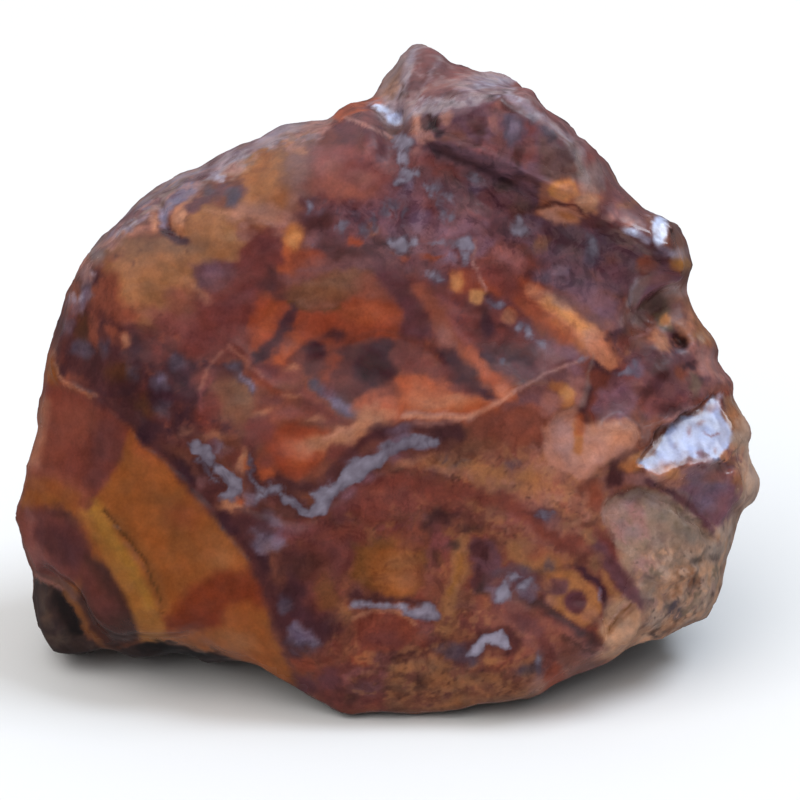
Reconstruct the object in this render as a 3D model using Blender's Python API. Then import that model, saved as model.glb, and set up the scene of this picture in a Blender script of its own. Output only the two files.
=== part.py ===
"""A rough jasper: one broken, fist-sized stone that stands on a worn flat.

The stone is worked out in the frame of its broken face: x runs right and y up across that face, and
height runs out of it, all in millimetres. It starts as a ball. Each point of the ball goes to its place
inside the stone's outline, and then out to the lowest of the breaks over the face or the back.
"""

import math
from functools import reduce

import bpy
import bmesh
import numpy as np
from mathutils import Vector, noise

# Driving dimensions, in metres and degrees. The middle is that of the photograph, in the face's plane.
STONE_WIDTH = 0.103
FACE_LEANS_BACK = 20.0
FLAT_BELOW_MIDDLE = 0.0380

# The photograph's own measure, in pixels
PHOTO_MIDDLE = (400.0, 400.0)
STONE_WIDTH_PX = 739.0
MM_PER_PX = STONE_WIDTH * 1000.0 / STONE_WIDTH_PX
EYE_DISTANCE_MM = 259.0
FACE_STANDS_MM = 12.0

# Mesh
BALL_SUBDIVISIONS = 8
TRIANGLES_KEPT = 9400
SEED = (3.1, 7.7, 1.9)

# How far in from the outline the rolls below are measured, and the least roll there, in mm
ROLL_MEASURED_AT = 10.0
LEAST_ROLL = 2.5

# The sides lose the outline's small notches towards the back: how far round they are smoothed, in radians,
# and how soon
SMOOTHED_OVER = 0.30
SMOOTHED_SOON = 1.5

# How wide the ridges between breaks are rounded, in mm. The rim's rounding starts at its least and grows
# inwards up to its most.
FACE_ROUNDING = 0.5
BLOCK_ROUNDING = 0.4
BACK_ROUNDING = 0.9
RIM_ROUNDING_LEAST = 0.01
RIM_ROUNDING_GROWS = 3.0
RIM_ROUNDING_MOST = 1.5

# The broken surface's wander: how broad its swells and lumps are, how high the lumps stand and the lumps'
# middle height, how deep into the face the rough sides reach, and how much calmer the face is, in mm
SWELL_SIZE = 14.0
LUMP_SIZE = 9.0
LUMP_HEIGHT = 0.5
LUMP_MIDDLE = 1.2
ROUGH_UP_TO = 1.0
CALM_FROM = 9.0
SWELLS_CALMED = 0.6
LUMPS_CALMED = 0.9

# The outline, clockwise from the peak: x and y in pixels, depth of the rim in mm (positive is nearer
# the eye), and how far the rim has rolled over 10 mm in from the outline, in front and behind, in mm.
OUTLINE = (
    # the peak, which stands behind the broken face
    (410, 46, -17, 22, 22),
    (421, 44, -17, 22, 22),
    (434, 50, -17, 24, 22),
    (455, 65, -16, 28, 22),
    (466, 67, -15, 32, 22),
    (476, 73, -14, 34, 24),
    # the top and the upper right side
    (500, 75, -13, 36, 26),
    (520, 82, -12, 36, 26),
    (540, 105, -9, 34, 26),
    (562, 121, -7, 32, 28),
    (576, 137, -6, 30, 30),
    (603, 160, -6, 28, 32),
    (614, 181, -6, 28, 32),
    (632, 199, -6, 28, 32),
    (652, 210, -6, 28, 32),
    (673, 219, -6, 26, 32),
    (684, 238, -5, 24, 30),
    (690, 266, -4, 22, 28),
    (682, 284, -5, 20, 26),
    # the rough right end
    (692, 306, -8, 18, 26),
    (708, 337, -8, 18, 26),
    (714, 358, -9, 18, 26),
    (733, 382, -9, 18, 26),
    (735, 397, -10, 18, 26),
    (744, 425, -11, 18, 24),
    (748, 456, -12, 18, 22),
    (757, 474, -13, 18, 22),
    (757, 494, -13, 18, 22),
    (742, 512, -12, 18, 24),
    (734, 537, -10, 18, 26),
    (724, 565, -9, 18, 28),
    (721, 588, -8, 18, 30),
    (708, 614, -7, 18, 34),
    # the underside, right to left
    (680, 629, -6, 18, 38),
    (652, 643, -4, 18, 42),
    (620, 664, -2, 17, 48),
    (578, 675, 0, 16, 54),
    (556, 688, 2, 15, 58),
    (526, 699, 4, 14, 60),
    (480, 704, 6, 13, 60),
    (448, 712, 7, 12, 60),
    (415, 715, 8, 12, 60),
    (375, 711, 8, 11, 60),
    (352, 717, 8, 11, 60),
    (341, 717, 8, 11, 60),
    (318, 704, 8, 11, 60),
    (286, 685, 7, 12, 56),
    (258, 667, 5, 13, 52),
    (240, 660, 2, 14, 48),
    # the dark rind that shows below the ochre lobe
    (205, 658, -5, 20, 48),
    (179, 651, -9, 20, 46),
    (140, 659, -8, 20, 46),
    (108, 652, -10, 20, 42),
    (77, 661, -8, 20, 40),
    (52, 650, -9, 20, 36),
    (36, 628, -10, 20, 32),
    (34, 596, -11, 20, 28),
    # the left side
    (34, 584, -11, 20, 26),
    (33, 572, -5, 18, 28),
    (24, 547, -4, 20, 30),
    (19, 512, -4, 20, 32),
    (25, 480, -4, 20, 34),
    (37, 432, -4, 20, 34),
    (42, 392, -4, 20, 34),
    (50, 350, -5, 22, 34),
    (66, 305, -5, 22, 34),
    (82, 264, -6, 24, 32),
    (102, 238, -7, 24, 30),
    (141, 198, -8, 26, 30),
    # the upper left bevel
    (163, 187, -9, 26, 28),
    (182, 174, -9, 26, 28),
    (214, 160, -10, 26, 26),
    (235, 145, -10, 28, 26),
    (261, 140, -10, 28, 26),
    (280, 128, -10, 28, 26),
    (320, 122, -9, 28, 24),
    (350, 105, -8, 28, 24),
    (371, 100, -11, 26, 22),
    (381, 82, -16, 22, 22),
    (400, 63, -17, 22, 22),
)

# Breaks over the face: x and y of the middle in pixels, height there in mm, rise to the right, rise
# upwards, and hollow, which is how much higher the break lies per square mm away from its middle.
FACE_BREAKS = {
    "upper face": (330, 300, 13.8, 0.08, -0.09, 0.0020),
    "lower face": (450, 560, 14.2, 0.01, 0.12, 0.0010),
    "ochre lobe": (190, 560, 12.0, 0.22, 0.10, 0.0022),
    "left of the lobe": (62, 560, 6.4, 0.62, 0.12, 0.0),
    "upper left bevel": (172, 215, 10.4, 0.50, -1.10, 0.0),
    "left edge": (72, 350, 8.6, 0.75, -0.10, 0.0),
    "small facet at the top left": (345, 140, 11.6, 0.30, -0.55, 0.0),
    "small facet under the peak": (385, 118, 11.2, -0.05, -1.30, 0.0),
    "right shoulder": (610, 265, 12.6, -0.30, 0.06, 0.0010),
    "right end": (680, 370, 6.8, -0.62, -0.05, 0.0),
    "pale facet": (655, 550, 11.8, -0.42, -0.18, 0.0),
    "small pale facet": (622, 622, 12.6, -0.25, 0.42, 0.0),
    "rough corner": (700, 585, 6.4, -0.80, 0.30, 0.0),
    "bottom edge": (420, 690, 11.2, 0.0, 0.75, 0.0),
    "bottom left edge": (275, 672, 9.6, 0.35, 0.9, 0.0),
}

# Blocks that stand proud of the face, each one held in by its own breaks
PROUD_BLOCKS = {
    "rind below the lobe": {
        "dome": (58, 612, 2.4, 0.10, 0.10, -0.055),
    },
    "second lump of the rind": {
        "dome": (160, 652, 1.5, 0.1, 0.0, -0.05),
    },
    "block at the top": {
        "front": (500, 140, 15.0, -0.05, -0.32, 0.0024),
        "roof": (490, 98, 14.2, -0.12, -2.6, 0.0),
        "roof's right": (560, 128, 13.2, -1.9, -2.0, 0.0),
        "right side": (586, 180, 13.0, -0.95, -0.50, 0.0),
        "underside": (506, 181, 12.2, 0.8, 2.2, 0.0),
        "left side": (420, 130, 12.0, 1.5, -0.4, 0.0),
    },
    "shoulder": {
        "front": (640, 222, 11.4, -0.38, -0.75, 0.0),
        "underside": (625, 234, 11.6, 1.1, 2.4, 0.0),
        "left side": (590, 206, 11.6, 1.2, 0.9, 0.0),
        "roof": (645, 212, 9.6, -1.2, -1.9, 0.0),
    },
    "shelf at the right": {
        "top": (690, 440, 8.4, -0.40, -0.66, 0.0),
        "front": (690, 495, 8.8, -0.50, 0.16, 0.0),
        "inner end": (640, 470, 9.2, 1.3, 0.4, 0.0),
    },
}

# Breaks over the back, with heights measured away from the eye
BACK_BREAKS = {
    "middle": (400, 360, 30.5, 0.12, -0.14, 0.0030),
    "low middle": (470, 560, 31.0, -0.06, 0.20, 0.0030),
    "upper left": (230, 250, 23.0, 0.52, -0.42, 0.0040),
    "right": (640, 430, 26.0, -0.66, -0.08, 0.0040),
    "lower right": (600, 600, 25.0, -0.50, 0.40, 0.0030),
    "left": (100, 450, 24.5, 0.80, -0.10, 0.0030),
    "lower left": (150, 590, 26.0, 0.55, 0.35, 0.0020),
    "under the peak": (430, 130, 28.0, 0.05, -0.70, 0.0020),
    "upper right": (570, 230, 25.0, -0.45, -0.50, 0.0040),
}

# Ledges: the face drops on the right of each line, walked in order. Drop and reach are in mm.
LEDGES = {
    "down to the rind": (((26, 572), (46, 584), (62, 589), (76, 607), (84, 630), (96, 645)), 8.0, 90.0),
    "rind under the lobe": (((80, 640), (108, 648), (150, 641), (185, 640), (225, 662)), 3.0, 90.0),
    "under the right flap": (((690, 277), (664, 288), (643, 297), (629, 311), (622, 330)), -2.6, 8.0),
    "under the top block": (((418, 143), (452, 156), (507, 181), (560, 206), (600, 222)), 0.8, 5.0),
    "under the shoulder": (((600, 222), (640, 240), (688, 266)), 0.8, 5.0),
    "edge of the ochre lobe": (((60, 385), (130, 432), (198, 498), (250, 562), (275, 640)), -0.35, 5.0),
}

# Crests and grooves: the line, the height of the crest (negative for a groove) and its half width
CRESTS = {
    "across the face": (((428, 419), (468, 417), (505, 400), (545, 376), (598, 347)), 0.7, 3.4),
    "beside the pink facet": (((598, 350), (584, 395), (574, 440)), 0.5, 2.6),
    "crack below the shelf": (((630, 476), (668, 500), (702, 531), (722, 552)), -1.3, 1.5),
    "at the top of the ochre lobe": (((46, 345), (56, 374), (68, 386), (104, 400)), 0.5, 1.8),
    "hollow over the crest": (((300, 345), (400, 350), (500, 330)), -0.8, 7.0),
    "hollow in the ochre lobe": (((128, 470), (180, 560)), -0.5, 7.0),
    "yellow band": (((92, 520), (120, 560), (150, 620)), 0.4, 2.2),
    "fold under the blue vein": (((205, 475), (300, 520), (345, 490)), -0.45, 3.0),
    "peak rib": (((416, 50), (408, 96)), 0.9, 2.2),
    "scratch on the small facet": (((300, 130), (262, 148)), 0.3, 2.0),
    "hooked scar": (((160, 198), (164, 226), (182, 240)), -0.7, 1.4),
    "hollow in the upper face": (((330, 240), (420, 230)), -0.5, 7.0),
    "swell in the upper left": (((150, 280), (230, 230)), 0.5, 8.0),
}

# Dishes left by flakes and pits: x and y in pixels, depth and half width in mm
DISHES = {
    "hole in the right end": (684, 340, 2.6, 2.2),
    "beside the hole": (660, 312, 1.4, 3.6),
    "below the hole": (700, 372, 0.9, 3.4),
    "under the flap": (644, 345, 0.8, 4.0),
    "in the rough corner": (668, 598, 1.0, 2.4),
    "low in the rough corner": (690, 560, 0.7, 3.2),
    "in the left edge": (78, 300, 0.7, 2.4),
    "upper face": (400, 215, 0.5, 8.0),
    "right of the crest": (560, 270, 0.6, 7.0),
    "beside the pink facet": (606, 395, 0.8, 4.6),
    "left of the crest": (300, 440, 0.5, 6.5),
    "lower face": (400, 560, 0.5, 9.0),
    "low right": (545, 610, 0.6, 6.0),
    "upper left": (210, 250, 0.5, 7.5),
    "top block": (530, 150, 0.5, 4.5),
    "on the shelf": (700, 430, 0.5, 3.6),
}


def to_mm(x, y, height=FACE_STANDS_MM):
    """A place in the photograph, at a height, as millimetres right of and above its middle."""
    nearer = (EYE_DISTANCE_MM - height) / EYE_DISTANCE_MM * MM_PER_PX
    return (x - PHOTO_MIDDLE[0]) * nearer, (PHOTO_MIDDLE[1] - y) * nearer


def soft_min(a, b, round_by):
    """The lower of two heights, with the ridge between them rounded."""
    share = np.clip(0.5 + 0.5 * (b - a) / round_by, 0.0, 1.0)
    return b * (1.0 - share) + a * share - round_by * share * (1.0 - share)


def break_height(a_break, x, y):
    """How high one break lies over each point."""
    middle_x, middle_y, height, to_right, to_top, hollow = a_break
    at_x, at_y = to_mm(middle_x, middle_y)
    dx, dy = x - at_x, y - at_y
    return height + to_right * dx + to_top * dy + hollow * (dx * dx + dy * dy)


def lowest_break(breaks, x, y, round_by):
    """The surface that is left once every break has been struck."""
    heights = (break_height(a_break, x, y) for a_break in breaks.values())
    return reduce(lambda a, b: soft_min(a, b, round_by), heights)


def along_line(line, x, y):
    """For each point: its distance from a line, its side (1 is the right), and its share of the way along."""
    places = [np.array(to_mm(*place)) for place in line]
    lengths = [np.linalg.norm(b - a) for a, b in zip(places, places[1:])]
    nearest = np.full_like(x, np.inf)
    side = np.ones_like(x)
    along = np.zeros_like(x)
    walked = 0.0
    for a, b, length in zip(places, places[1:], lengths):
        way = (b - a) / length
        forward = (x - a[0]) * way[0] + (y - a[1]) * way[1]
        to_left = (y - a[1]) * way[0] - (x - a[0]) * way[1]
        held = np.clip(forward, 0.0, length)
        distance = np.hypot(forward - held, to_left)
        closer = distance < nearest
        nearest = np.where(closer, distance, nearest)
        side = np.where(closer, -np.sign(to_left), side)
        along = np.where(closer, (walked + held) / sum(lengths), along)
        walked += length
    return nearest, side, along


def ledge_drop(a_ledge, x, y, wall_width=0.9, fade=0.12):
    """How far a ledge lets the face down: all at once beside its line, and less and less away from it."""
    line, drop, reach = a_ledge
    distance, side, along = along_line(line, x, y)
    side = side * np.sign(drop)
    ends = np.clip(np.minimum(along, 1.0 - along) / fade, 0.0, 1.0)
    step = np.clip(0.5 + side * distance / wall_width, 0.0, 1.0)
    return -abs(drop) * ends * step * np.exp(-((distance / reach) ** 2))


def crest_height(a_crest, x, y):
    """A rounded crest or groove along a line, which fades out at both ends."""
    line, height, half_width = a_crest
    distance, _, _ = along_line(line, x, y)
    return height * np.exp(-((distance / half_width) ** 2))


def dish_depth(a_dish, x, y):
    """A round dish."""
    middle_x, middle_y, depth, half_width = a_dish
    at_x, at_y = to_mm(middle_x, middle_y)
    out = ((x - at_x) ** 2 + (y - at_y) ** 2) / half_width**2
    return -depth * np.maximum(0.0, 1.0 - out) ** 1.5


def face_height(x, y):
    """The broken face."""
    height = lowest_break(FACE_BREAKS, x, y, FACE_ROUNDING)
    height += sum(ledge_drop(a_ledge, x, y) for a_ledge in LEDGES.values())
    for block in PROUD_BLOCKS.values():
        height = -soft_min(-height, -lowest_break(block, x, y, FACE_ROUNDING), BLOCK_ROUNDING)
    height += sum(crest_height(a_crest, x, y) for a_crest in CRESTS.values())
    return height + sum(dish_depth(a_dish, x, y) for a_dish in DISHES.values())


def outline_at(angle):
    """The outline's radius, the same smoothed, rim depth and both rolls, for each angle round the middle."""
    rows = np.array(OUTLINE, float)
    x, y = to_mm(rows[:, 0], rows[:, 1], rows[:, 2])
    order = np.argsort(np.arctan2(y, x))
    angles, rows = np.arctan2(y, x)[order], rows[order]
    radius = np.hypot(x, y)[order]
    turns = np.linspace(-0.5, 0.5, 7) * SMOOTHED_OVER
    around = [np.interp(angle + turn, angles, radius, period=2.0 * math.pi) for turn in turns]
    columns = (radius, rows[:, 2], rows[:, 3], rows[:, 4])
    found = [np.interp(angle, angles, column, period=2.0 * math.pi) for column in columns]
    return found[0], np.mean(around, axis=0), *found[1:]


def shaped(ball):
    """The stone's points, in the face's frame, from the points of a ball of radius one."""
    angle = np.arctan2(ball[:, 1], ball[:, 0])
    share = np.minimum(np.hypot(ball[:, 0], ball[:, 1]), 1.0)
    radius, smoothed, rim, roll_front, roll_back = outline_at(angle)
    in_front = ball[:, 2] >= 0.0
    rolled = np.sqrt((1.0 - share) * radius / ROLL_MEASURED_AT)
    radius += np.where(in_front, 0.0, smoothed - radius) * np.minimum(SMOOTHED_SOON * rolled, 1.0)
    x, y = share * radius * np.cos(angle), share * radius * np.sin(angle)
    rounding = np.minimum(RIM_ROUNDING_MOST, RIM_ROUNDING_LEAST + RIM_ROUNDING_GROWS * rolled)
    front = soft_min(face_height(x, y), rim + roll_front * rolled, rounding)
    back = soft_min(lowest_break(BACK_BREAKS, x, y, BACK_ROUNDING), roll_back * rolled - rim, rounding)
    least = LEAST_ROLL * np.minimum(rolled, 1.0)
    height = np.where(in_front, np.maximum(front, rim + least), -np.maximum(back, least - rim))
    return np.column_stack((x, y, height))


def roughness(points):
    """How far the broken surface wanders, in mm: broad swells everywhere, and lumps on the sides and back."""
    wander = np.empty(len(points))
    for i, place in enumerate(points):
        at = Vector(place)
        swell = noise.fractal(at / SWELL_SIZE + Vector(SEED), 1.0, 2.0, 3)
        ridges = noise.ridged_multi_fractal(at / LUMP_SIZE + Vector(SEED), 1.0, 2.1, 4, 0.9, 1.6)
        lumps = (ridges - LUMP_MIDDLE) * LUMP_HEIGHT
        calm = min(max((place[2] - ROUGH_UP_TO) / (CALM_FROM - ROUGH_UP_TO), 0.0), 1.0)
        wander[i] = swell * (1.0 - SWELLS_CALMED * calm) + lumps * (1.0 - LUMPS_CALMED * calm)
    return wander


def to_world(points):
    """From the face's frame in mm to metres with +Z up: the face leans back."""
    lean = math.radians(FACE_LEANS_BACK)
    x, y, height = points.T
    along_floor = y * math.sin(lean) - height * math.cos(lean)
    upwards = y * math.cos(lean) + height * math.sin(lean)
    return np.column_stack((x, along_floor, upwards)) * 0.001


def read_points(mesh):
    """A mesh's points as rows."""
    flat = np.empty(len(mesh.vertices) * 3)
    mesh.vertices.foreach_get("co", flat)
    return flat.reshape(-1, 3)


def read_normals(mesh):
    """A mesh's point normals as rows."""
    flat = np.empty(len(mesh.vertices) * 3)
    mesh.vertex_normals.foreach_get("vector", flat)
    return flat.reshape(-1, 3)


def write_points(mesh, points):
    mesh.vertices.foreach_set("co", points.ravel())
    mesh.update()


def ball_mesh(name):
    """A finely divided ball of radius one."""
    mesh = bpy.data.meshes.new(name)
    work = bmesh.new()
    bmesh.ops.create_icosphere(work, subdivisions=BALL_SUBDIVISIONS, radius=1.0)
    work.to_mesh(mesh)
    work.free()
    return mesh


def thinned(stone):
    """Fewer, larger faces where the stone is smooth."""
    thin = stone.modifiers.new("thin", "DECIMATE")
    thin.ratio = TRIANGLES_KEPT / len(stone.data.polygons)
    graph = bpy.context.evaluated_depsgraph_get()
    mesh = bpy.data.meshes.new_from_object(stone.evaluated_get(graph))
    stone.modifiers.clear()
    stone.data = mesh


def stood_on_flat(mesh):
    """Cuts the worn flat that the stone rests on, and puts the origin under the middle of its box."""
    floor = -FLAT_BELOW_MIDDLE
    work = bmesh.new()
    work.from_mesh(mesh)
    everything = work.verts[:] + work.edges[:] + work.faces[:]
    cut = bmesh.ops.bisect_plane(
        work, geom=everything, dist=1e-7, plane_co=(0, 0, floor), plane_no=(0, 0, 1), clear_inner=True
    )
    rim = [item for item in cut["geom_cut"] if isinstance(item, bmesh.types.BMEdge)]
    bmesh.ops.edgeloop_fill(work, edges=rim)
    bmesh.ops.triangulate(work, faces=work.faces[:])
    work.to_mesh(mesh)
    work.free()
    points = read_points(mesh)
    middle = (points.min(0) + points.max(0)) / 2.0
    moved = (middle[0], middle[1], floor)
    write_points(mesh, points - moved)
    return moved


def jasper_material():
    """Brownish red jasper, for the whole stone."""
    material = bpy.data.materials.new("jasper")
    material.use_nodes = True
    shader = material.node_tree.nodes["Principled BSDF"]
    shader.inputs["Base Color"].default_value = (0.23, 0.07, 0.035, 1.0)
    shader.inputs["Roughness"].default_value = 0.35
    shader.inputs["Metallic"].default_value = 0.0
    return material


def make_stone():
    mesh = ball_mesh("stone")
    points = shaped(read_points(mesh))
    write_points(mesh, points)
    points += read_normals(mesh) * roughness(points)[:, None]
    write_points(mesh, to_world(points))
    stone = bpy.data.objects.new("stone", mesh)
    bpy.context.scene.collection.objects.link(stone)
    thinned(stone)
    moved = stood_on_flat(stone.data)
    stone.data.materials.clear()
    stone.data.materials.append(jasper_material())
    stone.data.shade_smooth()
    return stone, moved


def clear_scene():
    for old in list(bpy.data.objects):
        bpy.data.objects.remove(old, do_unlink=True)


if __name__ == "__main__":
    clear_scene()
    make_stone()
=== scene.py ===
import math

import bpy
import numpy as np
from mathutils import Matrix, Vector, noise


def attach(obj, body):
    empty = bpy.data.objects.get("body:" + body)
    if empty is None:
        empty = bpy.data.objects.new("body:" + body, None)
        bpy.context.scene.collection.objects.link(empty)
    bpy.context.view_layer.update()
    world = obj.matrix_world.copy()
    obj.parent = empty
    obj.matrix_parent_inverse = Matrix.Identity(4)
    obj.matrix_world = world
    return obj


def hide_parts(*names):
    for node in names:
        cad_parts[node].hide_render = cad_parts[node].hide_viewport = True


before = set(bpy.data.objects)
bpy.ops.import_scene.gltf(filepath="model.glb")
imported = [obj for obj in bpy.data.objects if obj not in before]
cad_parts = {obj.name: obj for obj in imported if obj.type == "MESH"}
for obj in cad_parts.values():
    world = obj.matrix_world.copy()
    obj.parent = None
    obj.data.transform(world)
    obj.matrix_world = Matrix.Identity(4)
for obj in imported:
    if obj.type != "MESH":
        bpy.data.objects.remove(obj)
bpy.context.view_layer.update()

# Left alone, noise_vector takes its seed from the clock
NOISE_SEED = 2
noise.seed_set(NOISE_SEED)

# Places on the stone are given in pixels of the 800 by 800 frame. The frame's middle stands here in the
# row frame, in metres, and the broken face leans back by as much as the eye looks down on it.
MIDDLE = np.array((0.001326, -0.007205, 0.0380))
LEAN = math.radians(20.0)
EYE_DISTANCE_MM = 259.0
FRAME_PX = 800.0
MM_PER_PX = 103.0 / 739.0
SENSOR_MM = 36.0

# The mesh: its voxel in metres, rounds of smoothing, and how squarely a face has to meet the eye to be
# divided once more
VOXEL = 0.00082
VOXEL_SMOOTHING = 9
FINE_SMOOTHING = 3
FINE_FROM_FACING = 0.38

# How much smaller a pixel is on the face than at the frame's middle, and how high the points lie, in metres,
# that the stone rests on and that stay where they are
FACE_SCALE = 0.955
RESTING_HEIGHT = 0.0004

# How wide the noise is that lays clots of colour, in mm, and how soft the edge of a clot is, as a share of it
CLOT_SIZES = (4.0, 2.4, 1.3, 0.8)
CLOT_EDGE = 0.22

# How much light the polish adds to what the eye sees, and the darkest colour under it
SHEEN = 0.007
DEEPEST = 0.004

# Grain of the finish, from broad to fine, in waves to a metre, and what it multiplies the colour by
BROAD_SCALE = 120.0
CLOT_SCALE = 330.0
GRAIN_SCALE = 900.0
FINE_SCALE = 2600.0
DARK_CLOT_TINT = (0.55, 0.46, 0.54, 1.0)
LIGHT_CLOT_TINT = (1.36, 1.24, 1.16, 1.0)
DARK_GRAIN_TINT = (0.62, 0.55, 0.58, 1.0)
WARM_TINT = (1.06, 0.97, 0.96, 1.0)

# Gloss of the jasper, and the height of its bumps in metres
POLISHED_ROUGHNESS = 0.18
WEATHERED_ROUGHNESS = 0.70
JASPER_IOR = 1.54
JASPER_SPECULAR = 0.36
SWELL_HEIGHT = 0.00012
PORE_DEPTH = 0.00005

FLOOR_COLOUR = (0.82, 0.82, 0.81, 1.0)

# Colours of the stone, as they look in plain daylight. Among them, the blue-white glint colour and the pale
# sky reflection colour are for painted glints and painted reflection, and pearl and light stone also serve
# as painted sheen.
PALETTE = {
    "brick": "#6E3F32",
    "warm brick": "#7B4132",
    "oxblood": "#643530",
    "burgundy": "#66322E",
    "wine": "#5C3337",
    "plum": "#5F3C41",
    "dark plum": "#4C2A2A",
    "ink": "#3E242A",
    "black plum": "#302024",
    "deep wine": "#38161C",
    "violet brown": "#674650",
    "mauve": "#765059",
    "mauve brown": "#5F4340",
    "greyed mauve": "#806A66",
    "rose": "#87514F",
    "dusty rose": "#77413F",
    "rose brown": "#6C4444",
    "pink tan": "#9F736B",
    "pink mauve": "#8A5A54",
    "salmon": "#A6705F",
    "light salmon": "#BC8068",
    "coral": "#A06A50",
    "bright coral": "#B87C5C",
    "flame": "#99503A",
    "orange": "#B06D51",
    "bright orange": "#C8824A",
    "amber": "#A5633A",
    "bright amber": "#B87C4E",
    "pale amber": "#B08468",
    "rust": "#833C29",
    "light rust": "#9A4A2C",
    "ochre": "#8B5B3D",
    "bright ochre": "#96603C",
    "olive brown": "#77513C",
    "olive": "#6F4232",
    "yellow ochre": "#8E5A2B",
    "gold": "#96642B",
    "caramel": "#884C26",
    "dark caramel": "#6F4426",
    "red caramel": "#6E301E",
    "red brown": "#6C352B",
    "umber": "#4D2F1A",
    "dark umber": "#452924",
    "black brown": "#382826",
    "black": "#241A19",
    "grey brown": "#7A685C",
    "khaki": "#907362",
    "dark khaki": "#6A5848",
    "tan": "#AA8D7B",
    "slate": "#50434F",
    "dark slate": "#473C46",
    "slate mauve": "#766678",
    "steel": "#7C7488",
    "pearl": "#A8A2B4",
    "ice": "#C2CCE8",
    "pale blue": "#9DA4C2",
    "stone grey": "#8F7979",
    "light stone": "#9A8B92",
}


def rgb(name):
    """A colour of the palette as three shares, still as a screen shows it."""
    code = PALETTE[name]
    return np.array([int(code[i:i + 2], 16) for i in (1, 3, 5)]) / 255.0


def to_linear(colour):
    """Screen colours as light."""
    return np.where(colour <= 0.04045, colour / 12.92, ((np.maximum(colour, 0.0) + 0.055) / 1.055) ** 2.4)


def smooth_step(low, high, value):
    share = np.clip((value - low) / (high - low), 0.0, 1.0)
    return share * share * (3.0 - 2.0 * share)


def soft_edge(depth, soft):
    """1 inside and 0 outside, and in between across the edge."""
    return smooth_step(-soft / 2.0, soft / 2.0, depth)


def places(text):
    """Places written as '90,515 110,545', as rows of numbers."""
    return [[float(number) for number in place.split(",")] for place in text.split()]


def number_or_pair(word):
    """'6' as a number, and '14/8' as a pair."""
    numbers = tuple(float(part) for part in word.split("/"))
    return numbers if len(numbers) > 1 else numbers[0]


# The marks that shape and colour the face are in lists, one to a line, in the order they are made. A line
# says the kind and colour, then numbers, then places, with a colon between them. Places are pixels of the
# frame: the corners of a patch, the points of a line, or, for spots and pits, the middle, the two radii and
# perhaps a turn in degrees, clockwise. A width such as 14/8 is the first at the start of a line and the other
# at its end. Numbers that are left out at the end are as the function of that name has them. An indented line
# carries on the one before.


def make_marks(maker, notes):
    """Makes each mark of a list, by the maker's function of that name."""
    for note in notes.strip().replace("\n    ", " ").splitlines():
        head, numbers, *marks = note.split(":")
        kind, _, name = head.partition(" ")
        given = [name] if name else []
        given += [places(mark) for mark in marks]
        given += [number_or_pair(word) for word in numbers.split()]
        getattr(maker, kind)(*given)


def line_distance(x, y, line):
    """How far each point is from a line of several stretches, and its share of the way along."""
    nearest = np.full(x.shape, 1e9)
    along = np.zeros(x.shape)
    lengths = np.hypot(*np.diff(line, axis=0).T)
    walked = 0.0
    for (ax, ay), (bx, by), length in zip(line, line[1:], lengths):
        dx, dy = bx - ax, by - ay
        share = np.clip(((x - ax) * dx + (y - ay) * dy) / (length * length + 1e-9), 0.0, 1.0)
        distance = np.hypot(x - ax - share * dx, y - ay - share * dy)
        closer = distance < nearest
        nearest = np.where(closer, distance, nearest)
        along = np.where(closer, (walked + share * length) / lengths.sum(), along)
        walked += length
    return nearest, along


def depth_inside(x, y, corners):
    """How far inside a patch each point is, in pixels; outside it is negative."""
    distance, _ = line_distance(x, y, np.vstack((corners, corners[:1])))
    within = np.zeros(x.shape, bool)
    for (ax, ay), (bx, by) in zip(corners, np.roll(corners, -1, axis=0)):
        crosses = (ay > y) != (by > y)
        within ^= crosses & (x < (bx - ax) * (y - ay) / (by - ay + 1e-9) + ax)
    return np.where(within, distance, -distance)


def depth_in_band(x, y, line, width):
    """How far inside a band each point is. A pair of widths is for its start and end."""
    distance, along = line_distance(x, y, line)
    first, last = width if isinstance(width, tuple) else (width, width)
    return (first + (last - first) * along) / 2.0 - distance


def depth_in_spot(x, y, oval):
    """How far inside an oval each point is, given its middle, its two radii and perhaps its turn."""
    middle_x, middle_y, wide, high, *turn = oval
    angle = math.radians(turn[0] if turn else 0.0)
    across, down = x - middle_x, y - middle_y
    c, s = math.cos(angle), math.sin(angle)
    out = np.hypot((across * c + down * s) / wide, (down * c - across * s) / high)
    return (1.0 - out) * min(wide, high)


def noise_field(points, size, seed, octaves=2):
    """Smooth noise of about -1 to 1 over points in mm."""
    shift = Vector((seed * 17.3, seed * 5.1 + 40.0, seed * 9.7))
    return np.array([noise.fractal(Vector(place) / size + shift, 1.0, 2.0, octaves) for place in points])


def noise_shift(points, size, seed):
    """Two fields of noise, as a shift to the right and down."""
    shift = Vector((seed * 11.9, seed * 23.3, 60.0 - seed * 7.7))
    return np.array([noise.noise_vector(Vector(place) / size + shift)[:2] for place in points])


def read_points(mesh):
    flat = np.empty(len(mesh.vertices) * 3)
    mesh.vertices.foreach_get("co", flat)
    return flat.reshape(-1, 3)


def read_normals(mesh):
    flat = np.empty(len(mesh.vertices) * 3)
    mesh.vertex_normals.foreach_get("vector", flat)
    return flat.reshape(-1, 3)


def write_points(mesh, points):
    mesh.vertices.foreach_set("co", points.ravel())
    mesh.update()


# The face's own frame: right, up across the face, and out of it towards the eye
ACROSS = np.array((1.0, 0.0, 0.0))
UP_FACE = np.array((0.0, math.sin(LEAN), math.cos(LEAN)))
OUT = np.array((0.0, -math.cos(LEAN), math.sin(LEAN)))


def on_face(points):
    """Millimetres right, up and out from the frame's middle."""
    away = (points - MIDDLE) * 1000.0
    return away @ ACROSS, away @ UP_FACE, away @ OUT


def in_frame(points):
    """The pixel where each point shows, and its height out of the face in mm."""
    right, up, height = on_face(points)
    scale = MM_PER_PX * (EYE_DISTANCE_MM - height) / EYE_DISTANCE_MM
    return FRAME_PX / 2.0 + right / scale, FRAME_PX / 2.0 - up / scale, height


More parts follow.
